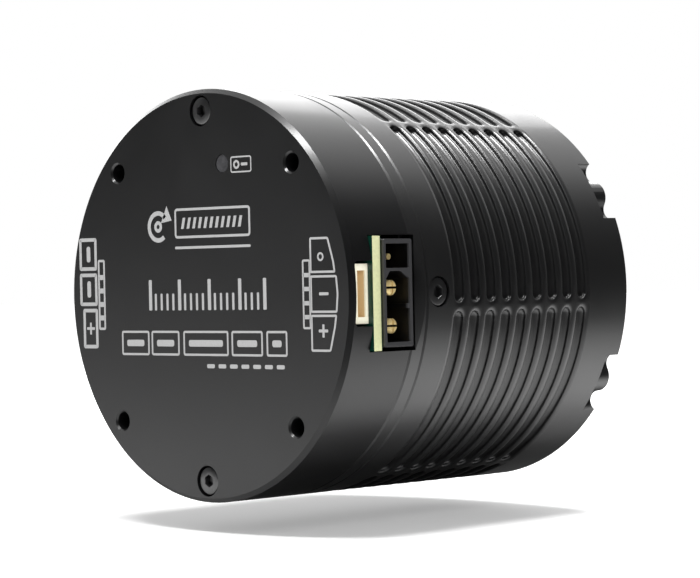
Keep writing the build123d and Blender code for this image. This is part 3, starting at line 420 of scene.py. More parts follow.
def raise_surface(tree, shader, height, strength, distance):
    """Feeds a height pattern to the shader's normal."""
    bump = tree.nodes.new("ShaderNodeBump")
    bump.inputs["Strength"].default_value = strength
    bump.inputs["Distance"].default_value = distance
    tree.links.new(height, bump.inputs["Height"])
    tree.links.new(bump.outputs["Normal"], shader.inputs["Normal"])


def grained_finish(
    name, color, roughness, metallic=0.0, ior=1.5, contrast=0.25, grain=5200.0, relief=0.08
):
    """A finish with fine grain in colour, gloss and relief."""
    finish, tree, shader, place = new_finish(name, color, roughness, metallic, ior)
    pattern = add_pattern(tree, grain_group(), place, "Grain Scale", grain)
    lighter = [min(1.0, channel * (1 + contrast)) for channel in color]
    darker = [channel * (1 - contrast) for channel in color]
    tree.links.new(tint(tree, pattern["Grain"], darker, lighter), shader.inputs["Base Color"])
    gloss = spread(tree, pattern["Clouds"], roughness * 0.9, roughness * 1.12)
    tree.links.new(gloss, shader.inputs["Roughness"])
    raise_surface(tree, shader, pattern["Grain"], relief, 0.02 * MM)
    return finish


def turned_finish(name, color, roughness, metallic=1.0, rings=9000.0, relief=0.15):
    """Bare metal with lathe rings."""
    finish, tree, shader, place = new_finish(name, color, roughness, metallic)
    marks = add_pattern(tree, turning_group(), place, "Ring Scale", rings)["Rings"]
    darker = [channel * 0.82 for channel in color]
    tree.links.new(tint(tree, marks, darker, color), shader.inputs["Base Color"])
    gloss = spread(tree, marks, roughness * 0.8, roughness * 1.25)
    tree.links.new(gloss, shader.inputs["Roughness"])
    raise_surface(tree, shader, marks, relief, 0.01 * MM)
    return finish


def layered_finish(name, color, roughness, scale, distortion, tones, relief):
    """Metal in thin layers along the axis."""
    finish, tree, shader, place = new_finish(name, color, roughness, 1.0)
    wave = tree.nodes.new("ShaderNodeTexWave")
    wave.bands_direction = "Y"
    wave.inputs["Scale"].default_value = scale
    wave.inputs["Distortion"].default_value = distortion
    tree.links.new(place, wave.inputs["Vector"])
    tree.links.new(tint(tree, wave.outputs["Fac"], *tones), shader.inputs["Base Color"])
    raise_surface(tree, shader, wave.outputs["Fac"], *relief)
    return finish


# Finishes


def anodised_finish(name, relief=0.1, ior=1.75):
    """Black anodised aluminium, bead-blasted to a fine satin."""
    looks = bpy.context.scene.actuator_finish
    color, roughness = tuple(looks.anodised), looks.anodised_roughness
    finish = grained_finish(name, color, roughness, ior=ior, contrast=0.5, grain=7000.0, relief=relief)
    shader = finish.node_tree.nodes["Principled BSDF"]
    shader.inputs["Coat Weight"].default_value = 0.3
    shader.inputs["Coat Roughness"].default_value = 0.14
    return finish


def winding_finish(name):
    """Enamelled copper wire wound in close turns."""
    tones = ((0.3, 0.09, 0.03), (0.72, 0.3, 0.13))
    return layered_finish(name, (0.62, 0.24, 0.1), 0.32, 900.0, 1.5, tones, (0.6, 0.1 * MM))


def lamination_finish(name):
    """Stacked electrical steel sheets seen on edge."""
    tones = ((0.13, 0.13, 0.14), (0.4, 0.4, 0.41))
    return layered_finish(name, (0.32, 0.32, 0.33), 0.42, 500.0, 0.0, tones, (0.4, 0.05 * MM))


def board_finish(name):
    """Circuit board: dark green mask on both faces over a pale laminate edge."""
    looks = bpy.context.scene.actuator_finish
    finish, tree, shader, place = new_finish(name, tuple(looks.mask), 0.25)
    low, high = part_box("controller_board")
    along = split_vector(tree, place)["Y"]
    skin = 0.09 * MM
    rear = math_node(tree, "LESS_THAN", along, low[1] + skin)
    front = math_node(tree, "GREATER_THAN", along, high[1] - skin)
    masked = math_node(tree, "MAXIMUM", rear, front)
    weave = add_noise(tree, place, 2600.0, 3.0)
    pale = tuple(looks.laminate)
    laminate = tint(tree, weave, [channel * 0.7 for channel in pale], pale)
    tree.links.new(cover_with(tree, masked, laminate, looks.mask), shader.inputs["Base Color"])
    tree.links.new(spread(tree, masked, 0.6, 0.22, 0.0, 1.0), shader.inputs["Roughness"])
    raise_surface(tree, shader, weave, 0.1, 0.02 * MM)
    return finish


def shaded_mouth_finish(name, node, outer, inner, roughness, grain):
    """A moulded connector body whose front 0.3 mm keeps its own tone, with a darker painted shade on
    everything behind it, for the recess and window it sits in.
    """
    finish = grained_finish(name, outer, roughness, contrast=0.08, grain=grain, relief=0.06)
    tree = finish.node_tree
    shader = tree.nodes["Principled BSDF"]
    outside = shader.inputs["Base Color"].links[0].from_socket
    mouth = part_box(node)[1][0] - 0.3 * MM
    place = tree.nodes.new("ShaderNodeTexCoord").outputs["Object"]
    # Painted shade: behind the front face the body takes the darker inner tone
    inside = math_node(tree, "LESS_THAN", split_vector(tree, place)["X"], mouth)
    tree.links.new(cover_with(tree, inside, outside, inner), shader.inputs["Base Color"])
    return finish


def cream_finish(name):
    """Cream body of the data connector, with tan painted shade behind its front face."""
    looks = bpy.context.scene.actuator_finish
    # The tan inner tone is painted shade of the connector's mouth
    return shaded_mouth_finish(name, "data_connector", tuple(looks.cream), (0.72, 0.52, 0.27), 0.38, 2200.0)


def black_finish(name):
    """Black body of the power connector, with darker painted shade behind its front face."""
    # The inside tone is painted shade of the recess, darker than the body's own black
    rim, inside = (0.034, 0.034, 0.036), (0.002, 0.002, 0.002)
    return shaded_mouth_finish(name, "power_connector", rim, inside, 0.34, 1500.0)


def lens_finish(name):
    """Dull grey light guide of the status lamp."""
    finish, tree, shader, place = new_finish(name, (0.05, 0.05, 0.055), 0.2)
    clouds = add_pattern(tree, grain_group(), place, "Cloud Scale", 900.0)["Clouds"]
    tone = tint(tree, clouds, (0.02, 0.02, 0.022), (0.09, 0.09, 0.095))
    tree.links.new(tone, shader.inputs["Base Color"])
    shader.inputs["Coat Weight"].default_value = 0.6
    return finish


def make_finishes():
    """All finishes by name, made once."""
    looks = bpy.context.scene.actuator_finish
    makers = {
        "anodised": (anodised_finish,),
        "anodised_face": (anodised_finish, 0.06, 1.52),
        "machined": (turned_finish, (0.6, 0.6, 0.61), 0.28),
        "screw": (grained_finish, (0.006, 0.006, 0.0065), 0.3, 0.0, 2.0, 0.4, 6000.0),
        "steel": (turned_finish, (0.6, 0.6, 0.61), 0.16, 1.0, 14000.0, 0.06),
        "gear": (grained_finish, (0.44, 0.43, 0.42), 0.3, 1.0, 1.5, 0.15, 4000.0),
        "lamination": (lamination_finish,),
        "winding": (winding_finish,),
        "magnet": (grained_finish, (0.5, 0.49, 0.46), 0.35, 1.0, 1.5, 0.12, 2500.0),
        "board": (board_finish,),
        "chip": (grained_finish, (0.025, 0.025, 0.026), 0.5, 0.0, 1.5, 0.3, 4000.0),
        "connector_black": (black_finish,),
        "connector_cream": (cream_finish,),
        "gold": (turned_finish, tuple(looks.gold), 0.45, 0.5, 12000.0, 0.08),
        "lens": (lens_finish,),
        "lamp": (grained_finish, (0.8, 0.78, 0.62), 0.3, 0.0, 1.5, 0.1, 3000.0),
        "lead": (grained_finish, (0.5, 0.03, 0.02), 0.45, 0.0, 1.5, 0.2, 2500.0),
        "ink": (grained_finish, tuple(looks.ink), 0.55, 0.0, 1.5, 0.18, 9000.0, 0.2),
    }
    finishes = {}
    for key, (make, *values) in makers.items():
        title = "Actuator " + key.replace("_", " ").title()
        finishes[key] = bpy.data.materials.get(title) or make(title, *values)
    return finishes


NODES_BY_FINISH = {
    "anodised": ("end_plate", "main_housing", "bearing_retainer"),
    "anodised_face": ("rear_cover",),
    "machined": ("board_standoffs", "centre_plate", "first_carrier", "output_carrier", "output_flange"),
    "screw": ("rear_cover_screws", "housing_side_screws", "board_screws", "output_flange_screws"),
    "steel": (
        "rear_bearing_outer",
        "rear_bearing_inner",
        "front_bearing_outer",
        "front_bearing_inner",
        "output_bearing_outer",
        "output_bearing_inner",
        "rotor_shaft",
        "first_planet_pins",
        "second_planet_pins",
        "output_encoder_rod",
    ),
    "gear": (
        "ring_gear",
        "first_sun_gear",
        "first_planet_a",
        "first_planet_b",
        "first_planet_c",
        "second_sun_gear",
        "second_planet_a",
        "second_planet_b",
        "second_planet_c",
    ),
    "lamination": ("stator_core", "rotor_core"),
    "winding": ("stator_coils",),
    "magnet": ("rotor_magnets", "rotor_encoder_ring", "output_encoder_magnet"),
    "board": ("controller_board",),
    "chip": ("board_components",),
    "connector_black": ("power_connector",),
    "connector_cream": ("data_connector",),
    "gold": ("power_pins", "signal_pins", "data_contacts"),
    "lens": ("status_lens",),
    "lamp": ("status_led",),
    "lead": ("phase_leads",),
}


class ACTUATOR_OT_finishes(Operator):
    """Gives every solid its finish"""

    bl_idname = "actuator.finishes"
    bl_label = "Dress the Solids"

    def execute(self, context):
        finishes = make_finishes()
        for finish, nodes in NODES_BY_FINISH.items():
            for name in nodes:
                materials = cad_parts[name].data.materials
                materials.clear()
                materials.append(finishes[finish])
        return {"FINISHED"}


# Housing


def slot_loop(bm, edges, offset, depth, body, half_length):
    """Extrudes a slot's outline to a new loop at an offset and a depth, and gives the new edges."""
    corners, lines = grow_edges(bm, edges)
    for corner in corners:
        middle = half_length if corner.co.x > 0 else -half_length
        if abs(corner.co.x) > half_length:
            away = Vector((corner.co.x - middle, corner.co.y, 0))
            reach = (body.slot_width / 2 + offset) / cos(pi / END_STEPS)
            corner.co = Vector((middle, 0, 0)) + away.normalized() * reach
        else:
            corner.co.y = (body.slot_width / 2 + offset) * (1 if corner.co.y > 0 else -1)
        corner.co.z = depth
    return lines


def slot_cell(body):
    """One slot with the metal round it, laid flat: x along the slot, y along the body, z outward."""
    bm = bmesh.new()
    sector = 2 * pi * body.radius / body.sectors
    half_length = (sector - body.land - body.slot_width) / 2
    reach = body.slot_width / 2 / cos(pi / END_STEPS)
    bmesh.ops.create_circle(bm, segments=END_STEPS, radius=reach, cap_ends=False)
    bmesh.ops.rotate(bm, verts=bm.verts, matrix=Matrix.Rotation(pi / END_STEPS, 3, "Z"))
    for side in (1, -1):
        half = [corner for corner in bm.verts if side * corner.co.x > 0]
        bmesh.ops.translate(bm, verts=half, vec=(side * half_length, 0, 0))
    sides = [edge for edge in bm.edges if edge.calc_length() > half_length]
    bmesh.ops.subdivide_edges(bm, edges=sides, cuts=SIDE_CUTS)
    wall = list(bm.edges)
    for corner in bm.verts:
        corner.co.z = -body.edge - body.crown
    lip = wall
    for turn in RIM_TURNS:
        depth = (sin(turn) - 1) * body.edge - body.crown
        lip = slot_loop(bm, lip, (1 - cos(turn)) * body.edge, depth, body, half_length)
    rib = (body.slot_pitch - body.slot_width) / 2
    for share, drop in CROWN_STEPS:
        lip = slot_loop(bm, lip, share * rib, -drop * body.crown, body, half_length)
    for corner in grow_edges(bm, lip)[0]:
        if abs(corner.co.x) > half_length + 0.05 * MM:
            side = 1 if corner.co.x > 0 else -1
            turn = atan2(corner.co.y, abs(corner.co.x) - half_length)
            share = turn / (pi / 2 - pi / END_STEPS)
            corner.co = Vector((side * sector / 2, share * body.slot_pitch / 2, 0))
        else:
            corner.co.y = body.slot_pitch / 2 * (1 if corner.co.y > 0 else -1)
            corner.co.z = 0
    floor = wall
    rim = body.slot_depth * STRAIGHT_WALL
    for turn in FLOOR_TURNS:
        inset = (cos(turn) - 1) * body.slot_width / 2
        depth = -rim - (body.slot_depth - rim) * sin(turn)
        floor = slot_loop(bm, floor, inset, depth, body, half_length)
    chains = {1: [], -1: []}
    for edge in floor:
        for side in chains:
            if all(abs(end.co.y - side * (body.slot_width / 2 + inset)) < 1e-7 for end in edge.verts):
                chains[side].append(edge)
    bmesh.ops.bridge_loops(bm, edges=chains[1] + chains[-1])
    ends = [edge for edge in open_edges(bm) if edge.verts[0].co.z < -0.8 * body.slot_depth]
    for side in (1, -1):
        bmesh.ops.contextual_create(bm, geom=[edge for edge in ends if side * edge.verts[0].co.x > 0])
    return bm


def slot_band(body):
    """The finned length of the housing: rows of slots, bent round the body and closed inside."""
    cell = slot_cell(body)
    sector = 2 * pi * body.radius / body.sectors
    bm = bmesh.new()
    flat = bpy.data.meshes.new("slot_cell")
    cell.to_mesh(flat)
    cell.free()
    for row in range(body.slot_rows):
        for column in range(body.sectors):
            known = set(bm.verts)
            bm.from_mesh(flat)
            fresh = [corner for corner in bm.verts if corner not in known]
            along = body.slot_start + row * body.slot_pitch - body.length
            bmesh.ops.translate(bm, verts=fresh, vec=((column + 0.5) * sector, along, 0))
    bpy.data.meshes.remove(flat)
    for corner in bm.verts:
        turn = body.land_angle + corner.co.x / body.radius
        reach = body.radius + corner.co.z
        corner.co = Vector((reach * cos(turn), corner.co.y, reach * sin(turn)))
    bmesh.ops.remove_doubles(bm, verts=bm.verts, dist=SEAM_DISTANCE)
    inner = grow_edges(bm, open_edges(bm))[0]
    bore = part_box("ring_gear")[1][0] / body.radius
    bmesh.ops.scale(bm, verts=inner, vec=(bore, 1, bore))
    bmesh.ops.bridge_loops(bm, edges=open_edges(bm))
    bmesh.ops.recalc_face_normals(bm, faces=bm.faces)
    return bm


def keep_length(bm, low, high):
    """Cuts a turned solid to the length between two values of Y and closes the cut."""
    for place, outward in ((low, -1), (high, 1)):
        if place is None:
            continue
        cut = bmesh.ops.bisect_plane(
            bm,
            geom=list(bm.verts) + list(bm.edges) + list(bm.faces),
            dist=1e-7,
            plane_co=(0, place, 0),
            plane_no=(0, outward, 0),
            clear_outer=True,
        )
        rim = [item for item in cut["geom_cut"] if isinstance(item, bmesh.types.BMEdge)]
        bmesh.ops.bridge_loops(bm, edges=rim)


class ACTUATOR_OT_housing(Operator):
    """Finned housing: plain ends from the solid, and nine rows of round-ended slots between them"""

    bl_idname = "actuator.housing"
    bl_label = "Finned Housing"

    def execute(self, context):
        body = context.scene.actuator_body
        rear = body.slot_start - body.slot_pitch / 2 - body.length
        front = rear + body.slot_rows * body.slot_pitch
        whole = slot_band(body)
        for low, high in ((None, rear), (front, None)):
            part = node_mesh("main_housing")
            keep_length(part, low, high)
            joined = bpy.data.meshes.new("housing_part")
            part.to_mesh(joined)
            part.free()
            whole.from_mesh(joined)
            bpy.data.meshes.remove(joined)
        finish = make_finishes()["anodised"]
        span = (rear + 0.01 * MM, front - 0.01 * MM)
        nodes = ["main_housing"]
        add_piece("housing_shell", whole, finish, "housing", nodes, smooth_span=span)
        return {"FINISHED"}


# Cover, end plate and front rings


class ACTUATOR_OT_shells(Operator):
    """Rear cover, end plate, output flange and rings with true round surfaces; their edges stay as the
    solids have them
    """

    bl_idname = "actuator.shells"
    bl_label = "Cover, Flange and Rings"

    def execute(self, context):
        finishes = make_finishes()
        rows = (
            ("cover_shell", "rear_cover", "anodised_face", "housing", "anodised_face"),
            ("end_plate_shell", "end_plate", "anodised", "housing", "anodised_black"),
            ("flange_shell", "output_flange", "machined", "output", "machined_aluminium"),
            ("retainer_shell", "bearing_retainer", "anodised", "housing", "anodised_black"),
            ("output_race_outer", "output_bearing_outer", "steel", "housing", "steel"),
            ("output_race_inner", "output_bearing_inner", "steel", "output", "steel"),
        )
        for name, node, finish, body, slot in rows:
            add_piece(name, node_mesh(node), finishes[finish], body, [node])
        return {"FINISHED"}


# Fasteners


def add_socket_screw(bm, place, head, height, socket, depth, shank, length):
    """Adds a socket head screw along its own -Z, top of the head at the place."""
    known = set(bm.verts)
    rim = 0.14 * head
    corner = socket / sqrt(3)
    flat = bmesh.ops.create_circle(bm, segments=48, radius=head - rim, cap_ends=False)["verts"]
    flat_edges = list({edge for point in flat for edge in point.link_edges})
    hexagon = bmesh.ops.create_circle(bm, segments=6, radius=corner + 0.05 * MM, cap_ends=False)["verts"]
    hex_edges = list({edge for point in hexagon for edge in point.link_edges})
    bmesh.ops.bridge_loops(bm, edges=flat_edges + hex_edges)
    outside = (
        (head - 0.35 * rim, -0.25 * rim),
        (head, -rim),
        (head, -height),
        (shank, -height),
        (shank, -length),
    )
    inside = ((corner, -0.06 * MM), (corner, -depth), (0.02 * MM, -depth - 0.3 * MM))
    for edges, path in ((flat_edges, outside), (hex_edges, inside)):
        for radius, level in path:
            points, edges = grow_edges(bm, edges)
            for point in points:
                point.co = Vector((point.co.x, point.co.y, 0)).normalized() * radius
                point.co.z = level
        bmesh.ops.contextual_create(bm, geom=edges)
    fresh = [corner for corner in bm.verts if corner not in known]
    bmesh.ops.transform(bm, matrix=place, verts=fresh)


def facing(place, outward):
    """A matrix at a place whose Z points outward."""
    turn = Vector(outward).to_track_quat("Z", "Y").to_matrix().to_4x4()
    return Matrix.Translation(place) @ turn


class ACTUATOR_OT_fasteners(Operator):
    """Socket head screws of the cover, the housing and the output flange"""

    bl_idname = "actuator.fasteners"
    bl_label = "Socket Head Screws"

    def execute(self, context):
        cover_low, cover_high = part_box("rear_cover_screws")
        circle = (cover_high[2] - cover_low[2]) / 2 - COVER_SCREW["head"]
        cover = [facing((0, cover_low[1], side * circle), (0, -1, 0)) for side in (1, -1)]
        side_low, side_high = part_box("housing_side_screws")
        centre = Vector((0, (side_low[1] + side_high[1]) / 2, 0))
        flange_low, flange_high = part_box("output_flange_screws")
        around, flange = [], []
        for index in range(3):
            turn = 2 * pi * index / 3
            outward = Vector((cos(turn), 0, sin(turn)))
            around.append(facing(outward * side_high[0] + centre, outward))
            turn = radians(FLANGE_SCREW_TURN + 120 * index)
            across, up = FLANGE_SCREW_CIRCLE * cos(turn), FLANGE_SCREW_CIRCLE * sin(turn)
            flange.append(facing((across, flange_high[1], up), (0, 1, 0)))
        cover_length, flange_length = cover_high[1] - cover_low[1], flange_high[1] - flange_low[1]
        rows = (
            ("cover_screws", "rear_cover_screws", "housing", COVER_SCREW, cover_length, cover),
            ("side_screws", "housing_side_screws", "housing", COVER_SCREW, SIDE_SCREW_LENGTH, around),
            ("flange_screws", "output_flange_screws", "output", FLANGE_SCREW, flange_length, flange),
        )
        black = make_finishes()["screw"]
        for name, node, body, sizes, length, places in rows:
            bm = bmesh.new()
            for place in places:
                add_socket_screw(bm, place, length=length, **sizes)
            bmesh.ops.recalc_face_normals(bm, faces=bm.faces)
            mesh = add_piece(name, bm, black, body, [node], turned=False)
            smooth_folds(mesh, SCREW_FOLD)
        return {"FINISHED"}


# Connectors, contacts and lens


class ACTUATOR_OT_connectors(Operator):
    """Moulded connectors with rounded edges, their contacts, the board and the status lens"""

    bl_idname = "actuator.connectors"
    bl_label = "Connectors and Board"

    def execute(self, context):
        finishes = make_finishes()
        rows = (
            ("power_shell", "power_connector", "connector_black", "connector_black", 0.07 * MM),
            ("data_shell", "data_connector", "connector_cream", "connector_cream", 0.07 * MM),
            ("power_contacts", "power_pins", "gold", "gold", 0.04 * MM),
            ("signal_contacts", "signal_pins", "gold", "gold", 0.04 * MM),
            ("board", "controller_board", "board", "board_green", 0.0),
        )
        for name, node, finish, slot, width in rows:
            bm = node_mesh(node)
            if width:
                break_edges(bm, width)
            mesh = add_piece(name, bm, finishes[finish], "housing", [node], turned=False)
            smooth_folds(mesh, MOULDED_FOLD)
        low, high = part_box("status_lens")
        middle = Vector(((low[0] + high[0]) / 2, low[1], (low[2] + high[2]) / 2))
        bm = bmesh.new()
        bmesh.ops.create_circle(bm, segments=48, radius=LENS_RADIUS, cap_ends=True)
        dome = list(bm.faces)
        for thickness, rise in LENS_STEPS:
            bmesh.ops.inset_region(bm, faces=dome, thickness=thickness * MM, depth=rise * MM)
        corners = grow_edges(bm, open_edges(bm))[0]
        bmesh.ops.translate(bm, verts=corners, vec=(0, 0, low[1] - high[1]))
        bmesh.ops.contextual_create(bm, geom=open_edges(bm))
        place = facing(middle + Vector((0, LENS_RECESS, 0)), (0, -1, 0))
        bmesh.ops.transform(bm, matrix=place, verts=bm.verts)
        bmesh.ops.recalc_face_normals(bm, faces=bm.faces)
        nodes = ["status_lens"]
        mesh = add_piece("lens_dome", bm, finishes["lens"], "housing", nodes, turned=False)
        smooth_folds(mesh, SCREW_FOLD)
        return {"FINISHED"}


# Printed marks


def ink_shape(bm, corners, line=0.0, rounding=0.0):
    """Adds a flat shape from its corners in mm, filled or as an outline of the given width."""
    points = [bm.verts.new((x * MM, 0, z * MM)) for x, z in corners]
    face = bm.faces.new(points)
    if rounding:
        made = bmesh.ops.bevel(
            bm,
            geom=points,
            offset=rounding * MM,
            offset_type="OFFSET",
            segments=4,
            profile=0.5,
            affect="VERTICES",
            material=-1,
        )
        face = max(made["verts"][0].link_faces, key=lambda item: len(item.verts))
    if line:
        bmesh.ops.inset_region(
            bm, faces=[face], thickness=line * MM, use_boundary=True, use_even_offset=True
        )
        bmesh.ops.delete(bm, geom=[face], context="FACES_ONLY")


def ink_box(bm, left, right, low, high, line=0.0, rounding=0.3):
    """Adds an upright box between two values of X and of Z in mm."""
    ink_shape(bm, ((left, low), (right, low), (right, high), (left, high)), line, rounding)


def ink_ring(bm, centre, radius, line, start=0.0, end=360.0):
    """Adds an arc of a ring, between two turns in degrees, by spinning a short stroke."""
    x, z = centre
    first = radians(start)
    inner = bm.verts.new(((x + radius * cos(first)) * MM, 0, (z + radius * sin(first)) * MM))
    reach = radius + line
    outer = bm.verts.new(((x + reach * cos(first)) * MM, 0, (z + reach * sin(first)) * MM))
    stroke = bm.edges.new((inner, outer))
    bmesh.ops.spin(
        bm,
        geom=[inner, outer, stroke],
        cent=(x * MM, 0, z * MM),
        axis=(0, -1, 0),
        angle=radians(end - start),
        steps=max(6, int((end - start) / 9)),
        use_merge=end - start >= 360,
    )


def ink_sign(bm, x, z, kind):
    """Adds a plus or minus sign, or a dot, for a contact."""
    if kind == "dot":
        ink_ring(bm, (x, z), 0.32, 0.26)
        return
    ink_box(bm, x - 0.85, x + 0.85, z - 0.19, z + 0.19, rounding=0.1)
    if kind == "plus":
        for side in (-1, 1):
            ink_box(bm, x - 0.19, x + 0.19, z + side * 0.19, z + side * 0.85, rounding=0.06)


class ACTUATOR_OT_marks(Operator):
    """Plain marks on the rear face: lamp tag, turning arrow, plate, scale, tags and contact diagrams"""

    bl_idname = "actuator.marks"
    bl_label = "Printed Marks"

    def execute(self, context):
        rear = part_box("rear_cover")[0][1]
        bm = bmesh.new()
        ink_box(bm, 5.8, 9.85, 16.4, 18.6, line=0.2, rounding=0.35)
        ink_ring(bm, (6.95, 17.5), 0.3, 0.3)
        ink_box(bm, 7.85, 9.1, 17.3, 17.7, rounding=0.12)
        ink_ring(bm, (-9.0, 9.6), 1.55, 0.62, 40, 310)
        ink_shape(bm, ((-8.4, 10.1), (-6.2, 10.4), (-7.2, 12.4)))
        ink_ring(bm, (-9.0, 9.6), 0.3, 0.5)
        ink_box(bm, -5.6, 9.4, 7.9, 12.0, line=0.34, rounding=0.5)
        for step in range(11):
            left = -4.3 + step * 1.13
            ink_shape(bm, ((left, 9.2), (left + 0.52, 9.2), (left + 0.9, 10.7), (left + 0.38, 10.7)))
        ink_box(bm, -5.6, 9.4, 6.45, 6.8, rounding=0.15)
        for step in range(20):
            left = -11.2 + step * 1.2
            tall = step % 5 == 0 or step == 19
            ink_box(bm, left, left + (0.62 if tall else 0.42), -1.9, 2.3 if tall else 0.4, rounding=0.12)
        tags = ((-17.1, -11.3), (-10.85, -5.1), (-4.3, 4.7), (5.3, 11.35), (12.05, 16.0))
        for left, right in tags:
            ink_box(bm, left, right, -8.1, -4.7, line=0.3, rounding=0.35)
            middle = (left + right) / 2
            half = (right - left) / 2 - 1.1
            ink_box(bm, middle - half, middle + half, -6.85, -5.95, rounding=0.3)
        for step in range(7):
            ink_box(bm, 0.4 + step * 2.25, 1.9 + step * 2.25, -9.75, -9.2, rounding=0.2)
        boxes = (
            ((20.44, 2.79), (25.1, 2.79), (24.85, 4.3), (23.85, 7.45), (20.44, 7.45)),
            ((20.44, -2.37), (25.3, -2.37), (25.55, 0.1), (25.3, 2.5), (20.44, 2.5)),
            ((20.44, -7.4), (24.03, -7.4), (24.95, -4.2), (25.25, -2.6), (20.44, -2.6)),
        )
        for corners in boxes:
            ink_shape(bm, corners, line=0.3, rounding=0.3)
        ink_sign(bm, 22.4, 4.9, "dot")
        ink_sign(bm, 22.9, 0.1, "minus")
        ink_sign(bm, 22.7, -4.7, "plus")
        ink_box(bm, 19.0, 20.5, -4.48, 4.59, line=0.28, rounding=0.3)
        for level in (-2.9, -1.1, 0.75, 2.55):
            ink_box(bm, 19.2, 20.3, level - 0.28, level + 0.28, rounding=0.1)
        for low, high in ((3.8, 8.4), (-1.2, 3.4), (-7.2, -1.6)):
            left = -26.0 if low > -5 else -25.4
            ink_box(bm, left, -22.2, low, high, line=0.5, rounding=0.35)
        ink_box(bm, -24.4, -23.6, 5.0, 7.2, rounding=0.3)
        ink_box(bm, -24.4, -23.6, 0.0, 2.3, rounding=0.3)
        ink_sign(bm, -23.8, -4.4, "plus")
        ink_box(bm, -22.0, -20.5, -4.6, 5.3, line=0.34, rounding=0.3)
        for level in (-2.9, -1.0, 0.9, 2.8):
            ink_box(bm, -21.7, -20.8, level - 0.35, level + 0.35, rounding=0.1)
        bmesh.ops.reverse_faces(bm, faces=[face for face in bm.faces if face.normal.y > 0])
        bmesh.ops.translate(bm, verts=bm.verts, vec=(0, rear - INK_HEIGHT, 0))
        raised = bmesh.ops.extrude_face_region(bm, geom=list(bm.faces))["geom"]
        corners = [item for item in raised if isinstance(item, bmesh.types.BMVert)]
        bmesh.ops.translate(bm, verts=corners, vec=(0, INK_THICKNESS, 0))
        bmesh.ops.recalc_face_normals(bm, faces=bm.faces)
        ink = make_finishes()["ink"]
        add_piece("printed_marks", bm, ink, "housing", turned=False)
        return {"FINISHED"}


# Studio


def floor_finish():
    """Matt white paper, white to the camera away from the part, with painted dark patches that only
    reflections see: painted shadow under and behind the part, and painted darkness to its right and ahead
    of it on the camera side.
    """
    paper = bpy.data.materials.new("Studio Paper")
    paper.use_nodes = True
    tree = paper.node_tree
    shader = tree.nodes["Principled BSDF"]
    shader.inputs["Roughness"].default_value = 0.9
    shader.inputs["Specular IOR Level"].default_value = 0.1
    place = tree.nodes.new("ShaderNodeTexCoord").outputs["Object"]
    fibres = add_noise(tree, place, 900.0)
    path = tree.nodes.new("ShaderNodeLightPath")
    split = split_vector(tree, place)
    across, along = split["X"], split["Y"]
    # Painted darkness for reflections: to the right, under and behind the part, and ahead of it on the
    # camera side
    right = spread(tree, across, 0, 0.95, 0.045, 0.1)
    part_side = spread(tree, across, 0.95, 0, 0.012, 0.03)
    part_length = spread(tree, along, 0, 1, -0.065, -0.05)
    painted_shade_under_and_behind = math_node(tree, "MULTIPLY", part_side, part_length)
    camera_side = spread(tree, across, 0, 0.95, 0, 0.04)
    rearward = spread(tree, along, 1, 0, -0.09, -0.06)
    ahead = math_node(tree, "MULTIPLY", camera_side, rearward)
    dark = math_node(tree, "MAXIMUM", math_node(tree, "MAXIMUM", right, painted_shade_under_and_behind), ahead)
    # There the paper turns near black for glossy rays only: painted reflection of shade
    painted_dark_reflections = math_node(tree, "MULTIPLY", path.outputs["Is Glossy Ray"], dark)
    white = tint(tree, fibres, (0.88, 0.88, 0.88), (0.92, 0.92, 0.92))
    tree.links.new(cover_with(tree, painted_dark_reflections, white, (0.02, 0.02, 0.02)), shader.inputs["Base Color"])
    reach = tree.nodes.new("ShaderNodeVectorMath")
    reach.operation = "LENGTH"
    tree.links.new(place, reach.inputs[0])
    far = spread(tree, reach.outputs["Value"], 0.22, 1.0, 0.1, 0.3)
    glow = tree.nodes.new("ShaderNodeEmission")
    seen = math_node(tree, "MULTIPLY", path.outputs["Is Camera Ray"], far)
    tree.links.new(seen, glow.inputs["Strength"])
    both = tree.nodes.new("ShaderNodeAddShader")
    tree.links.new(shader.outputs["BSDF"], both.inputs[0])
    tree.links.new(glow.outputs["Emission"], both.inputs[1])
    tree.links.new(both.outputs["Shader"], tree.nodes["Material Output"].inputs["Surface"])
    return paper


def add_area_light(name, place, size, power):
    """A soft rectangular light turned to the middle of the part."""
    lamp = bpy.data.lights.new(name, "AREA")
    lamp.shape = "RECTANGLE"
    lamp.size, lamp.size_y = size
    lamp.energy = power
    light = bpy.data.objects.new(name, lamp)
    direction = Vector(MIDDLE) - Vector(place)
    light.rotation_euler = direction.to_track_quat("-Z", "Y").to_euler()
    light.location = place
    bpy.context.scene.collection.objects.link(light)
    return light


def build_world(world):
    """White to the camera, grey as light, bright behind and dark to the right in reflections."""
    world.use_nodes = True
    tree = world.node_tree
    sky = tree.nodes["Background"]
    path = tree.nodes.new("ShaderNodeLightPath")
    place = tree.nodes.new("ShaderNodeTexCoord")
    aim = tree.nodes.new("ShaderNodeVectorMath")
    aim.operation = "DOT_PRODUCT"
    aim.inputs[1].default_value = BRIGHT_SIDE
    tree.links.new(place.outputs["Generated"], aim.inputs[0])
    backdrop = spread(tree, aim.outputs["Value"], 0.02, 1.0, 0.36, 0.68)
    light = math_node(tree, "MULTIPLY", path.outputs["Is Diffuse Ray"], 0.3)
    reflected = math_node(tree, "MULTIPLY", path.outputs["Is Glossy Ray"], backdrop)
    seen = math_node(tree, "MAXIMUM", path.outputs["Is Camera Ray"], path.outputs["Is Transmission Ray"])
    total = math_node(tree, "MAXIMUM", math_node(tree, "MAXIMUM", seen, reflected), light)
    tree.links.new(total, sky.inputs["Strength"])
    sky.inputs["Color"].default_value = (1.0, 1.0, 1.0, 1.0)


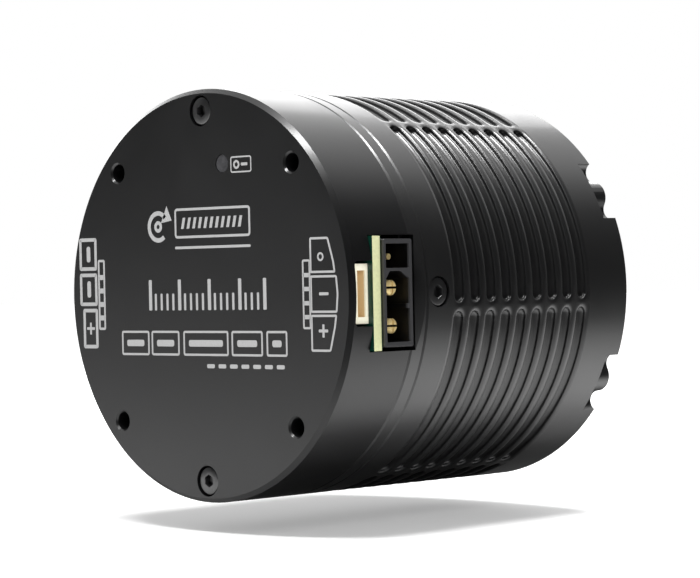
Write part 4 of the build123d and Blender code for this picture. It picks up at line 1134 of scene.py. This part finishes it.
class ACTUATOR_OT_stage(Operator):
    """Lays the floor, lights the part and sets the camera"""

    bl_idname = "actuator.stage"
    bl_label = "Set the Stage"

    def execute(self, context):
        scene = context.scene
        stage = scene.actuator_stage
        bm = bmesh.new()
        bmesh.ops.create_grid(bm, x_segments=4, y_segments=4, size=FLOOR_SIZE)
        bmesh.ops.translate(bm, verts=bm.verts, vec=(0, 0, stage.floor))
        mesh = bpy.data.meshes.new("studio_floor")
        bm.to_mesh(mesh)
        bm.free()
        mesh.materials.append(floor_finish())
        floor = bpy.data.objects.new("studio_floor", mesh)
        scene.collection.objects.link(floor)
        for name, place, size in LIGHTS:
            light = add_area_light(name + "_light", place, size, getattr(stage, name))
            light.visible_glossy = name != "front"
        if scene.world is None:
            scene.world = bpy.data.worlds.new("Studio")
        build_world(scene.world)
        lens = bpy.data.cameras.new("view")
        lens.lens = stage.lens
        lens.sensor_width = SENSOR
        lens.sensor_fit = "HORIZONTAL"
        lens.clip_start = 0.01
        camera = bpy.data.objects.new("view", lens)
        scene.collection.objects.link(camera)
        across, height = stage.azimuth, stage.elevation
        back = Vector((sin(across) * cos(height), -cos(across) * cos(height), sin(height)))
        right = (-back).cross(Vector((0, 0, 1))).normalized()
        up = right.cross(-back)
        tilted_right = cos(stage.roll) * right + sin(stage.roll) * up
        tilted_up = cos(stage.roll) * up - sin(stage.roll) * right
        turn = Matrix((tilted_right, tilted_up, back)).transposed()
        camera.matrix_world = Matrix.Translation(Vector(stage.place)) @ turn.to_4x4()
        scene.camera = camera
        scene.view_settings.view_transform = "Standard"
        return {"FINISHED"}


class ACTUATOR_PT_tools(Panel):
    """Tools that build the actuator's pieces"""

    bl_label = "Joint Actuator"
    bl_idname = "ACTUATOR_PT_tools"
    bl_space_type = "VIEW_3D"
    bl_region_type = "UI"
    bl_category = "Actuator"

    def draw(self, context):
        layout = self.layout
        for step in STEPS:
            layout.operator(step.bl_idname)
        scene = context.scene
        for settings in (scene.actuator_body, scene.actuator_finish, scene.actuator_stage):
            box = layout.box()
            for name in settings.__annotations__:
                box.prop(settings, name)


SETTINGS = (
    ("actuator_body", ACTUATOR_PG_body),
    ("actuator_finish", ACTUATOR_PG_finish),
    ("actuator_stage", ACTUATOR_PG_stage),
)
STEPS = (
    ACTUATOR_OT_finishes,
    ACTUATOR_OT_housing,
    ACTUATOR_OT_shells,
    ACTUATOR_OT_fasteners,
    ACTUATOR_OT_connectors,
    ACTUATOR_OT_marks,
    ACTUATOR_OT_stage,
)


def register():
    for name, group in SETTINGS:
        bpy.utils.register_class(group)
        setattr(bpy.types.Scene, name, PointerProperty(type=group))
    for step in STEPS:
        bpy.utils.register_class(step)
    bpy.utils.register_class(ACTUATOR_PT_tools)


def unregister():
    bpy.utils.unregister_class(ACTUATOR_PT_tools)
    for step in reversed(STEPS):
        bpy.utils.unregister_class(step)
    for name, group in reversed(SETTINGS):
        delattr(bpy.types.Scene, name)
        bpy.utils.unregister_class(group)


def main():
    """Builds every piece in order."""
    register()
    bpy.ops.actuator.finishes()
    bpy.ops.actuator.housing()
    bpy.ops.actuator.shells()
    bpy.ops.actuator.fasteners()
    bpy.ops.actuator.connectors()
    bpy.ops.actuator.marks()
    bpy.ops.actuator.stage()


if __name__ == "__main__":
    main()
